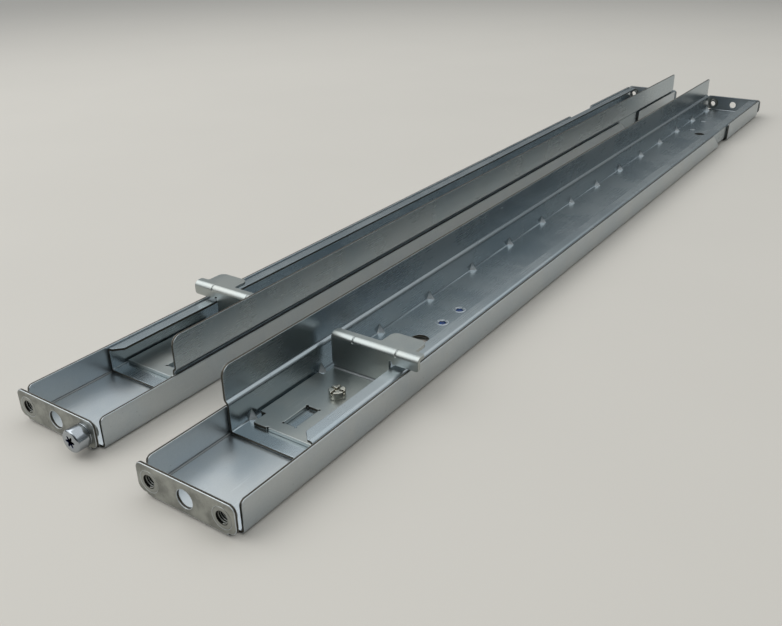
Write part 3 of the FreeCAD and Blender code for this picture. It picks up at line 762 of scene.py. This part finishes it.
def smooth_patches(work: Mesh, angle: float) -> list[list[Face]]:
    """Return groups of faces that meet at less than an angle.

    Args:
        work: the mesh.
        angle: the largest angle inside a group, in radians.

    Returns:
        The groups.
    """
    groups = []
    seen: set[Face] = set()
    for first in work.faces:
        if first in seen:
            continue
        seen.add(first)
        group, open_faces = [], [first]
        while open_faces:
            face = open_faces.pop()
            group.append(face)
            for edge in face.edges:
                if len(edge.link_faces) != 2 or edge.calc_face_angle(0.0) > angle:
                    continue
                for other in edge.link_faces:
                    if other not in seen:
                        seen.add(other)
                        open_faces.append(other)
        groups.append(group)
    return groups


def is_rim(edge: Edge, inside: set[Face]) -> bool:
    """Tell whether an edge lies on the rim of a group of faces."""
    return sum(face in inside for face in edge.link_faces) == 1


def is_square(edge: Edge) -> bool:
    """Tell whether an edge's two faces meet at about a right angle."""
    slack = math.radians(14.0)
    return abs(edge.calc_face_angle(0.0) - math.pi / 2) < slack


def is_end_face(face: Face) -> bool:
    """Tell whether a face looks along the rail, as an end plate does."""
    least_share = 0.95
    return abs(face.normal.x) > least_share


def is_creased(face: Face) -> bool:
    """Tell whether a face lies inside a bend, with its neighbours folded towards it."""
    greatest_width, least_length = 1.0 * MM, 6.0 * MM
    least_fold, greatest_fold = math.radians(3.0), math.radians(50.0)
    side_share = 0.4
    longest = max(edge.calc_length() for edge in face.edges)
    if face.calc_area() > longest * greatest_width or longest < least_length:
        return False
    sides = [edge for edge in face.edges if edge.calc_length() > side_share * longest]
    folds = [-edge.calc_face_angle_signed(0.0) for edge in sides]
    return sum(least_fold < fold < greatest_fold for fold in folds) >= 2


def is_oblique(face: Face) -> bool:
    """Tell whether a face looks up and leans along both other axes, as a dart's sides do."""
    least_lean = 0.12
    return min(abs(face.normal.x), abs(face.normal.y), face.normal.z) > least_lean


@dataclass(frozen=True)
class Ring:
    """One ring of a turned piece.

    Attributes:
        radius: in metres.
        along: its place on the axis.
        lobe: how deep a six-lobed key's waves are, as a share of the radius.
        recessed: whether the surface from here to the next ring lies in a bore or key, and so gets
            painted shade.
    """

    radius: float
    along: float
    lobe: float = 0.0
    recessed: bool = False


@dataclass
class TurnedPiece:
    """A closed piece turned from rings, either solid with two end caps or bored right through.

    Attributes:
        name: of its mesh.
        rings: in order along the surface.
        axis: that it is turned round.
        segments: round the axis.
        bored: whether the last ring meets the first instead of both being capped.
    """

    name: str
    rings: Sequence[Ring]
    axis: Axis
    segments: int = 72
    bored: bool = False

    def point(self, ring: Ring, number: int) -> Vector:
        """Return one corner of a ring."""
        angle = 2 * math.pi * number / self.segments
        radius = ring.radius * (1.0 + ring.lobe * math.cos(6 * angle))
        first, second = radius * math.cos(angle), radius * math.sin(angle)
        if self.axis is Axis.X:
            return Vector((ring.along, first, second))
        return Vector((first, second, ring.along))

    def mesh(self) -> bpy.types.Mesh:
        """Return the piece's mesh, with smooth rounds and sharp corners."""
        work = bmesh.new()
        inside = work.faces.layers.float.new(PAINTED_SHADE)
        loops = [
            [work.verts.new(self.point(ring, n)) for n in range(self.segments)]
            for ring in self.rings]
        steps = list(zip(self.rings, loops, loops[1:] + loops[:1]))
        for ring, first, second in steps if self.bored else steps[:-1]:
            for n in range(self.segments):
                after = (n + 1) % self.segments
                face = work.faces.new((first[n], first[after], second[after], second[n]))
                # faces in a bore or key are marked for painted shade
                face[inside] = mark_of(ring.recessed)
        if not self.bored:
            work.faces.new(loops[0])[inside] = mark_of(self.rings[0].recessed)
            work.faces.new(loops[-1])
        bmesh.ops.recalc_face_normals(work, faces=work.faces)
        mesh = bpy.data.meshes.new(self.name)
        work.to_mesh(mesh)
        work.free()
        smooth_mesh(mesh)
        return mesh


# --- Geometry nodes ----------------------------------------------------------


@dataclass(frozen=True)
class NodeMaker:
    """A geometry node tree with named inputs, run once on a piece and baked into its mesh.

    Attributes:
        name: the tree's name.
        inputs: (name, socket type, default) of each input.
        draw: builds the nodes and returns the geometry before its instances are realized.
    """

    name: str
    inputs: tuple[tuple[str, str, object], ...]
    draw: Callable[[Graph, Sockets], Socket]

    def tree(self) -> bpy.types.NodeTree:
        """Return the tree, building it the first time."""
        outputs = [("Geometry", "NodeSocketGeometry")]
        return node_group(self.name, "GeometryNodeTree", self.inputs, outputs, self.finished)

    def finished(self, graph: Graph, given: Sockets) -> list[Socket]:
        """Draw the geometry, realize its instances and give it its finish."""
        solid = graph.add("GeometryNodeRealizeInstances", {0: self.draw(graph, given)}).outputs[0]
        return [graph.add(
            "GeometryNodeSetMaterial", {"Geometry": solid, "Material": given["Finish"]}).outputs[0]]

    def run(self, piece: Piece, **values: object) -> None:
        """Run the tree on a piece and keep the result as the piece's own mesh.

        Args:
            piece: the object, whose mesh the tree may use.
            values: inputs by name, with underscores for spaces.
        """
        tree = self.tree()
        modifier = piece.modifiers.new(self.name, "NODES")
        modifier.node_group = tree
        given = {name.replace("_", " "): value for name, value in values.items()}
        for item in tree.interface.items_tree:
            if item.in_out == "INPUT" and item.name in given:
                modifier[item.identifier] = given[item.name]
        bpy.context.view_layer.update()
        evaluated = piece.evaluated_get(bpy.context.evaluated_depsgraph_get())
        mesh = bpy.data.meshes.new_from_object(evaluated)
        mesh.name = piece.name
        piece.modifiers.clear()
        piece.data = mesh


def place_copies(graph: Graph, points: Socket, shape: Socket) -> Socket:
    """Set a copy of a shape at each point."""
    one = graph.add("GeometryNodeGeometryToInstance", {0: shape}).outputs[0]
    return graph.add(
        "GeometryNodeInstanceOnPoints", {"Points": points, "Instance": one}).outputs[0]


def draw_line(graph: Graph, given: Sockets) -> Socket:
    """Draw the row of points that count, start and step give."""
    return graph.add("GeometryNodeMeshLine", {
        "Count": given["Count"], "Start Location": given["Start"],
        "Offset": given["Step"]}).outputs[0]


def draw_repeated(graph: Graph, given: Sockets) -> Socket:
    """Set a copy of the piece at each place of a small grid."""
    side = graph.add(
        "GeometryNodeMeshLine", {"Count": given["Rows"], "Offset": given["Row step"]})
    grid = graph.add("GeometryNodeInstanceOnPoints", {
        "Points": draw_line(graph, given), "Instance": side.outputs[0]})
    places = graph.add("GeometryNodeRealizeInstances", {0: grid.outputs[0]}).outputs[0]
    return place_copies(graph, places, given["Piece"])


def draw_thread(graph: Graph, given: Sockets) -> Socket:
    """Wind a screw thread's ridge round the X axis, and set it in each hole of a row."""
    spiral = graph.add("GeometryNodeCurveSpiral", {
        "Resolution": 32, "Rotations": given["Turns"], "Start Radius": given["Radius"],
        "End Radius": given["Radius"], "Height": given["Length"]})
    ridge = graph.add(
        "GeometryNodeCurvePrimitiveCircle", {"Resolution": 6, "Radius": given["Ridge"]})
    wound = graph.add("GeometryNodeCurveToMesh", {
        "Curve": spiral.outputs[0], "Profile Curve": ridge.outputs[0], "Fill Caps": True})
    laid = graph.add("GeometryNodeTransform", {
        "Geometry": wound.outputs[0], "Rotation": (0.0, math.pi / 2, 0.0)})
    return place_copies(graph, draw_line(graph, given), laid.outputs[0])


REPEATED = NodeMaker("repeated_piece", (
    ("Piece", "NodeSocketGeometry", None), ("Count", "NodeSocketInt", 2),
    ("Start", "NodeSocketVector", (0.0, 0.0, 0.0)),
    ("Step", "NodeSocketVector", (0.01, 0.0, 0.0)), ("Rows", "NodeSocketInt", 1),
    ("Row step", "NodeSocketVector", (0.0, 0.01, 0.0)),
    ("Finish", "NodeSocketMaterial", None)), draw_repeated)
THREAD = NodeMaker("thread_turns", (
    ("Blank", "NodeSocketGeometry", None), ("Count", "NodeSocketInt", 2),
    ("Start", "NodeSocketVector", (0.0, 0.0, 0.0)),
    ("Step", "NodeSocketVector", (0.0, 0.03, 0.0)), ("Radius", "NodeSocketFloat", 0.0022),
    ("Length", "NodeSocketFloat", 0.0036), ("Turns", "NodeSocketFloat", 4.5),
    ("Ridge", "NodeSocketFloat", 0.00022), ("Finish", "NodeSocketMaterial", None)), draw_thread)


# --- The rails ---------------------------------------------------------------


@dataclass
class Rail:
    """One rail of the pair, and the measures, in metres, that its pieces don't take from the frame.

    Attributes:
        side: which rail it is.
        ledge_break: width of the round along the ledge rail's edges.
        bracket_break: width of the round along the stop bracket's edges.
        plate: thickness of an end plate.
        thread_spacing: between the two threaded holes of an end plate.
        thread_radius: of a threaded hole's core.
        thread_pitch: of its thread.
        thread_ridge: radius of the thread's ridge.
        nut_length: of a clinch nut and its plate.
        nut_radius: of its shank, in the plate.
        nut_neck_radius: of its threaded neck, behind the plate.
        nut_chamfer: at the mouth of its bore.
        nut_edge: of its other edges.
        screw_head_radius: of a slide screw.
        screw_shank_radius: of its shank.
        screw_recess_radius: of its key recess.
        screw_recess_depth: of its key recess.
        screw_lobe: how deep the key's waves are, as a share of its radius.
        lock_profile: (share of the recess's radius, depth in mm, lobe) of the thread-lock's rings.
        rivet_head_radius: of a rear rivet.
        rivet_radius: of its shank.
        rivet_profile: (share of the head's radius, depth in mm) of the rings of its domed head.
    """

    side: Side
    ledge_break: float = 0.14 * MM
    bracket_break: float = 0.22 * MM
    plate: float = 1.2 * MM
    thread_spacing: float = 31.75 * MM
    thread_radius: float = 2.2 * MM
    thread_pitch: float = 0.8 * MM
    thread_ridge: float = 0.2 * MM
    nut_length: float = 3.5 * MM
    nut_radius: float = 3.95 * MM
    nut_neck_radius: float = 3.2 * MM
    nut_chamfer: float = 0.35 * MM
    nut_edge: float = 0.1 * MM
    screw_head_radius: float = 2.8 * MM
    screw_shank_radius: float = 1.5 * MM
    screw_recess_radius: float = 1.7 * MM
    screw_recess_depth: float = 0.9 * MM
    screw_lobe: float = 0.1
    lock_profile: tuple[tuple[float, float, float], ...] = (
        (0.1, 0.22, 0.0), (0.55, 0.26, 0.02), (0.86, 0.42, 0.08), (0.97, 0.6, 0.1),
        (0.85, 0.95, 0.1))
    rivet_head_radius: float = 2.3 * MM
    rivet_radius: float = 1.6 * MM
    rivet_profile: tuple[tuple[float, float], ...] = (
        (0.25, 0.0), (0.6, 0.05), (0.85, 0.17), (1.0, 0.36), (1.0, 0.5))

    def node(self, name: str) -> str:
        """Return the name of this rail's node."""
        return self.side.value + "_" + name

    def box(self, name: str) -> tuple[Vector, Vector]:
        """Return the low and high corner of one of this rail's nodes."""
        low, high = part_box(self.node(name))
        return Vector(low), Vector(high)

    @property
    def sliding_body(self) -> str:
        """Return the body that slides in this rail."""
        return self.side.value + "_slide"

    @property
    def towards_ledge(self) -> float:
        """Return which way along Y this rail's ledge lies."""
        return 1.0 if self.side is Side.RIGHT else -1.0

    def build(self) -> Iterable[Piece]:
        """Build every piece of the rail, and yield each one."""
        yield from self.sheets()
        yield from self.turned_nodes()
        yield from self.threads()
        yield self.slide_screws()
        yield self.thread_lock()
        yield self.rivets()

    def sheets(self) -> Iterable[Piece]:
        """Dress the four sheet pieces."""
        sliding = self.sliding_body
        for name, body, slot, finish, options in (
            ("front_channel", "front_channels", "zinc_channel", CHANNEL_ZINC,
             {"worn_ends": True}),
            ("rear_bracket", sliding, "zinc_channel", CHANNEL_ZINC, {}),
            ("ledge_rail", sliding, "zinc_ledge", LEDGE_ZINC,
             {"break_width": self.ledge_break, "punched": True}),
            ("stop_bracket", sliding, "zinc_bracket", BRACKET_ZINC,
             {"break_width": self.bracket_break}),
        ):
            yield SheetDressing(self.node(name), body, slot, finish, **options).build()

    def turned_nodes(self) -> Iterable[Piece]:
        """Turn the nuts, and dress the slide block and the stop screw."""
        sliding = self.sliding_body
        yield self.nuts("front_nuts", "front_channels", 1.0)
        yield self.nuts("rear_nuts", sliding, -1.0)
        yield SlidingDressing(
            self.node("slide_block"), sliding, "block_steel", BLOCK_STEEL).build()
        yield SlottedDressing(
            self.node("stop_screw"), sliding, "screw_nickel", SCREW_NICKEL, 0.15 * MM).build()

    def nuts(self, name: str, body: str, inward: float) -> Piece:
        """Turn the two clinch nuts of an end plate.

        Args:
            name: of their node.
            body: the body that they ride on.
            inward: which way along X the plate's inner side lies.

        Returns:
            The nuts.
        """
        low, high = self.box(name)
        outer = low.x if inward > 0 else high.x
        bore, shank, neck = self.thread_radius, self.nut_radius, self.nut_neck_radius
        edge, end = self.nut_edge, self.nut_length
        shoulder = self.plate + 0.02 * MM
        rings = (
            Ring(bore + self.nut_chamfer, 0.0), Ring(shank - edge, 0.0),
            Ring(shank, inward * edge), Ring(shank, inward * self.plate),
            Ring(neck, inward * shoulder), Ring(neck, inward * (end - edge)),
            Ring(neck - edge, inward * end), Ring(bore, inward * end, recessed=True),
            Ring(bore, inward * self.nut_chamfer, recessed=True))
        piece = TurnedPiece(self.node(name) + "_turned", rings, Axis.X, 56, bored=True)
        spacing = self.thread_spacing
        start = Vector((outer, (low.y + high.y - spacing) / 2, (low.z + high.z) / 2))
        row = self.repeat(piece, NUT_ZINC, "nut_zinc", body, start, Vector((0.0, spacing, 0.0)))
        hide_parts(self.node(name))
        return row

    def threads(self) -> Iterable[Piece]:
        """Cut the thread's turns in the open nuts of both ends."""
        filled = 1 if self.side is Side.LEFT else 0
        yield self.thread_row("front_nuts", "front_channels", 2 - filled)
        yield self.thread_row("rear_nuts", self.sliding_body, 2)

    def thread_row(self, nuts: str, body: str, count: int) -> Piece:
        """Wind the threads of one end plate's nuts, from the lip's side.

        Args:
            nuts: the nuts' node.
            body: the body that they ride on.
            count: how many of the two are open.

        Returns:
            The threads.
        """
        low, high = self.box(nuts)
        centre = (low + high) / 2
        length = self.nut_length - 2 * self.thread_ridge
        step = Vector((0.0, self.towards_ledge * self.thread_spacing, 0.0))
        start = centre - Vector((length, 0.0, 0.0)) / 2 - step / 2
        material = NUT_ZINC.material()
        row = finish_object(
            self.node(nuts) + "_thread", bpy.data.meshes.new("blank"), material)
        THREAD.run(
            row, Count=count, Start=start, Step=step, Radius=self.thread_radius, Length=length,
            Turns=length / self.thread_pitch, Ridge=self.thread_ridge, Finish=material)
        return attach(row, body)

    def repeat(
        self, piece: TurnedPiece, finish: Finish, slot: str, body: str, start: Vector,
        step: Vector, across: float = 0.0
    ) -> Piece:
        """Set a turned piece at both ends of a step, and perhaps on both sides of the rail.

        Args:
            piece: the piece, round the origin.
            finish: its finish.
            slot: its material slot, not used.
            body: the body that the row rides on.
            start: the first place.
            step: from the first place to the second.
            across: from one side of the rail to the other, or 0 for one row.

        Returns:
            The row.
        """
        material = finish.material()
        row = finish_object(piece.name, piece.mesh(), material)
        REPEATED.run(
            row, Count=2, Start=start, Step=step, Rows=2 if across else 1,
            Row_step=(0.0, across, 0.0), Finish=material)
        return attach(row, body)

    def screw_places(self) -> tuple[Vector, Vector]:
        """Return the first slide screw's top and the step to the second."""
        low, high = self.box("slide_screws")
        head = self.screw_head_radius
        start = Vector((low.x + head, (low.y + high.y) / 2, high.z))
        return start, Vector((high.x - low.x - 2 * head, 0.0, 0.0))

    def slide_screws(self) -> Piece:
        """Turn the two countersunk screws that hold the slide block."""
        low, high = self.box("slide_screws")
        head, shank, recess = (
            self.screw_head_radius, self.screw_shank_radius, self.screw_recess_radius)
        lobe = self.screw_lobe
        edge, dish, rim = 0.12 * MM, 0.04 * MM, 0.35 * MM
        rings = (
            Ring(0.9 * recess, -self.screw_recess_depth, lobe, recessed=True),
            Ring(recess, -edge, lobe), Ring(recess + edge, -dish, 0.8 * lobe),
            Ring(head - rim, -dish), Ring(head - edge, -0.1 * MM),
            Ring(head - 0.02 * MM, -2 * edge), Ring(shank, shank - head),
            Ring(shank, low.z - high.z))
        piece = TurnedPiece(self.node("slide_screws_turned"), rings, Axis.Z)
        row = self.repeat(
            piece, SCREW_ZINC, "screw_zinc", self.sliding_body, *self.screw_places())
        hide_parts(self.node("slide_screws"))
        return row

    def thread_lock(self) -> Piece:
        """Pour the blue compound into both screws' recesses."""
        rings = [
            Ring(self.screw_recess_radius * share, -depth * MM, lobe)
            for share, depth, lobe in self.lock_profile]
        piece = TurnedPiece(self.node("thread_lock"), rings, Axis.Z)
        return self.repeat(
            piece, BLUE_LOCK, "screw_zinc", self.sliding_body, *self.screw_places())

    def rivets(self) -> Piece:
        """Head the four rivets that hold the rear bracket."""
        low, high = self.box("rear_rivets")
        head, shank = self.rivet_head_radius, self.rivet_radius
        rings = [Ring(head * share, -depth * MM) for share, depth in self.rivet_profile]
        rings += [Ring(shank, rings[-1].along), Ring(shank, low.z - high.z)]
        piece = TurnedPiece(self.node("rear_rivets_headed"), rings, Axis.Z, segments=40)
        start = Vector((low.x + head, low.y + head, high.z))
        row = self.repeat(
            piece, RIVET_ZINC, "rivet_zinc", self.sliding_body, start,
            Vector((high.x - low.x - 2 * head, 0.0, 0.0)), high.y - low.y - 2 * head)
        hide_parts(self.node("rear_rivets"))
        return row


@dataclass
class LocatingStud:
    """The polished stud in the left-hand rail's front plate, with a six-lobed key in its tip.

    Its measures are in metres.

    Attributes:
        radius: of the stud.
        length: ahead of the plate.
        tip_chamfer: at its free end.
        edge: width of its small rounds.
        key_radius: of the six-lobed recess.
        key_depth: of the recess.
        key_lobe: how deep the key's waves are, as a share of its radius.
        foot_radius: of the foot against the plate.
        foot_length: of the foot.
        groove_radius: of the groove beside the foot.
        groove_length: of the groove.
        shank_radius: of the part inside the nut.
    """

    radius: float = 4.4 * MM
    length: float = 6.0 * MM
    tip_chamfer: float = 0.45 * MM
    edge: float = 0.12 * MM
    key_radius: float = 1.7 * MM
    key_depth: float = 1.6 * MM
    key_lobe: float = 0.34
    foot_radius: float = 4.2 * MM
    foot_length: float = 0.5 * MM
    groove_radius: float = 3.6 * MM
    groove_length: float = 0.4 * MM
    shank_radius: float = 2.2 * MM

    def build(self) -> Piece:
        """Turn the stud and set it in place of its node."""
        low, high = (Vector(corner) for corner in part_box("left_locating_stud"))
        mesh = TurnedPiece(
            "left_locating_stud_turned", self.rings(low.x, high.x), Axis.X, segments=96).mesh()
        middle = (low + high) / 2
        mesh.transform(Matrix.Translation((0.0, middle.y, middle.z)))
        stud = finish_object("left_locating_stud_turned", mesh, STUD_BRIGHT.material())
        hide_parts("left_locating_stud")
        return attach(stud, "front_channels")

    def rings(self, tip: float, end: float) -> tuple[Ring, ...]:
        """Return the stud's rings, from its key's floor to the end of its shank.

        Args:
            tip: where its free end lies along X.
            end: where its shank ends.

        Returns:
            The rings.
        """
        edge, chamfer, key, lobe = self.edge, self.tip_chamfer, self.key_radius, self.key_lobe
        plate = tip + self.length
        foot = plate - self.foot_length
        groove = foot - self.groove_length
        return (
            Ring(0.9 * key, tip + self.key_depth, lobe, recessed=True),
            Ring(key, tip + edge, lobe, recessed=True),
            Ring(key + edge, tip, lobe - 0.02),
            Ring(self.radius - chamfer - edge, tip),
            Ring(self.radius - chamfer, tip + 0.3 * edge),
            Ring(self.radius - 0.3 * edge, tip + chamfer),
            Ring(self.radius, tip + chamfer + edge),
            Ring(self.radius, groove - 2 * edge),
            Ring(self.radius - edge, groove),
            Ring(self.groove_radius, groove),
            Ring(self.groove_radius, foot),
            Ring(self.foot_radius - edge, foot),
            Ring(self.foot_radius, foot + edge),
            Ring(self.foot_radius, plate),
            Ring(self.shank_radius, plate),
            Ring(self.shank_radius, end))


# --- Studio and camera -------------------------------------------------------


@dataclass(frozen=True)
class Lamp:
    """One soft rectangular lamp.

    Attributes:
        name: the lamp's name.
        place: in metres.
        size: width and height in metres.
        power: in watts.
    """

    name: str
    place: tuple[float, float, float]
    size: tuple[float, float]
    power: float

    def build(self) -> None:
        """Hang the lamp, facing the pair."""
        light = bpy.data.lights.new(self.name, "AREA")
        light.shape = "RECTANGLE"
        light.size, light.size_y = self.size
        light.energy = self.power
        lamp = bpy.data.objects.new(self.name, light)
        lamp.location = self.place
        lamp.rotation_euler = (-Vector(self.place)).to_track_quat("-Z", "Y").to_euler()
        bpy.context.scene.collection.objects.link(lamp)


@dataclass(frozen=True)
class Table:
    """A pale paper-covered table that greys away from the pair.

    Attributes:
        side: of the square table, in metres.
        near: its colour where the pair lies.
        far: its colour far away, darkened by painted shade where the light falls off.
        near_reach: where its colour starts to change, in metres from the middle.
        far_reach: where it has changed, in metres from the middle.
        mottle: share of the far colour in its faint clouds.
    """

    side: float = 14.0
    near: Colour = (0.60, 0.572, 0.525)
    far: Colour = (0.32, 0.309, 0.29)
    near_reach: float = 0.45
    far_reach: float = 1.5
    mottle: float = 0.03

    def build(self) -> None:
        """Lay the table under the pair."""
        work = bmesh.new()
        bmesh.ops.create_grid(work, x_segments=8, y_segments=8, size=self.side / 2)
        mesh = bpy.data.meshes.new("table")
        work.to_mesh(mesh)
        work.free()
        finish_object("table", mesh, self.material())

    def material(self) -> bpy.types.Material:
        """Return the table's material."""
        material = bpy.data.materials.new("table_paper")
        material.use_nodes = True
        graph = Graph(material.node_tree)
        surface = material.node_tree.nodes["Principled BSDF"]
        point = graph.point()
        clouds = graph.noise(point, 9.0, detail=4.0)
        reach = graph.add(
            "ShaderNodeVectorMath", {0: point}, operation="LENGTH").outputs["Value"]
        # Painted shade: the table darkens from the near colour to the far one, where the light
        # falls off.
        farness = graph.spread(reach, self.near_reach, self.far_reach)
        colour = graph.mix(farness, opaque(self.near), opaque(self.far))
        mottle = graph.spread(clouds, low=0.3, high=0.7, to_high=self.mottle)
        graph.feed(surface.inputs["Base Color"], graph.mix(mottle, colour, opaque(self.far)))
        surface.inputs["Roughness"].default_value = 0.65
        surface.inputs["Specular IOR Level"].default_value = 0.25
        return material


@dataclass(frozen=True)
class Room:
    """The room that the metal mirrors, darker low down and where the viewer stands.

    Attributes:
        horizon: its colour at the table's height.
        wall: its colour part of the way up.
        ceiling: its colour overhead.
        wall_height: where the wall's colour is reached, as the sine of the way up.
        ceiling_start: where the ceiling's colour starts.
        ceiling_full: where it is reached.
        viewer: the way to the viewer, who keeps the room's light off the pair.
        viewer_edge: where the viewer's shade starts, as the cosine of the turn from that way.
        viewer_core: where it is full.
        viewer_shade: how much of the light is left there.
    """

    horizon: Colour = (0.17, 0.175, 0.175)
    wall: Colour = (0.26, 0.28, 0.285)
    ceiling: Colour = (1.0, 1.03, 1.04)
    wall_height: float = 0.4
    ceiling_start: float = 0.41
    ceiling_full: float = 0.62
    viewer: tuple[float, float, float] = (-0.80, -0.54, 0.26)
    viewer_edge: float = 0.62
    viewer_core: float = 0.92
    viewer_shade: float = 0.25

    def build(self) -> None:
        """Make the room the scene's world."""
        world = bpy.data.worlds.new("room")
        bpy.context.scene.world = world
        world.use_nodes = True
        world.node_tree.nodes.clear()
        graph = Graph(world.node_tree)
        direction = graph.add("ShaderNodeTexCoord").outputs["Generated"]
        height = graph.add("ShaderNodeSeparateXYZ", {0: direction}).outputs[2]
        wall = graph.spread(height, 0.0, self.wall_height)
        ceiling = graph.spread(height, self.ceiling_start, self.ceiling_full)
        colour = graph.mix(wall, opaque(self.horizon), opaque(self.wall))
        colour = graph.mix(ceiling, colour, opaque(self.ceiling))
        facing = graph.add(
            "ShaderNodeVectorMath", {0: direction, 1: Vector(self.viewer).normalized()},
            operation="DOT_PRODUCT").outputs["Value"]
        shade = graph.spread(facing, self.viewer_edge, self.viewer_core, 1.0, self.viewer_shade)
        background = graph.add("ShaderNodeBackground", {"Color": colour, "Strength": shade})
        graph.add("ShaderNodeOutputWorld", {"Surface": background.outputs[0]})


@dataclass(frozen=True)
class Viewpoint:
    """The camera, at the right-hand rail's front end.

    Attributes:
        place: in metres.
        turns: its turns about Z, X and Y, in radians.
        lens: focal length for the sensor, in millimetres.
        sensor: width of the sensor, in millimetres.
    """

    place: tuple[float, float, float] = (-0.44788, -0.20790, 0.17138)
    turns: tuple[float, float, float] = (-1.0086, 1.1132, 0.0431)
    lens: float = 39.14
    sensor: float = 36.0

    def build(self) -> None:
        """Make the camera and let the scene use it."""
        data = bpy.data.cameras.new("viewpoint")
        data.lens = self.lens
        data.sensor_width = self.sensor
        data.clip_start = 0.01
        camera = bpy.data.objects.new("viewpoint", data)
        turn = Matrix.Identity(4)
        for angle, axis in zip(self.turns, "ZXY"):
            turn = turn @ Matrix.Rotation(angle, 4, axis)
        camera.matrix_world = Matrix.Translation(self.place) @ turn
        bpy.context.scene.collection.objects.link(camera)
        bpy.context.scene.camera = camera


@dataclass(frozen=True)
class Studio:
    """A pale table in a dim room, under a bright ceiling and one large soft lamp.

    Attributes:
        table: the table.
        room: the room.
        key: the lamp.
        viewpoint: the camera.
    """

    table: Table = Table()
    room: Room = Room()
    key: Lamp = Lamp("key_softbox", place=(-0.75, 1.3, 1.3), size=(2.7, 2.1), power=21.5)
    viewpoint: Viewpoint = Viewpoint()

    def build(self) -> None:
        """Make the camera, the table, the room and the lamp."""
        self.viewpoint.build()
        self.table.build()
        self.room.build()
        self.key.build()


def main() -> None:
    """Build the studio and the pair."""
    logging.basicConfig(level=logging.INFO, format="%(name)s: %(message)s")
    bpy.context.scene.view_settings.view_transform = "Standard"
    Studio().build()
    for side in Side:
        for piece in Rail(side).build():
            log.info("%s: %d faces", piece.name, len(piece.data.polygons))
    stud = LocatingStud().build()
    log.info("%s: %d faces", stud.name, len(stud.data.polygons))


if __name__ == "__main__":
    main()
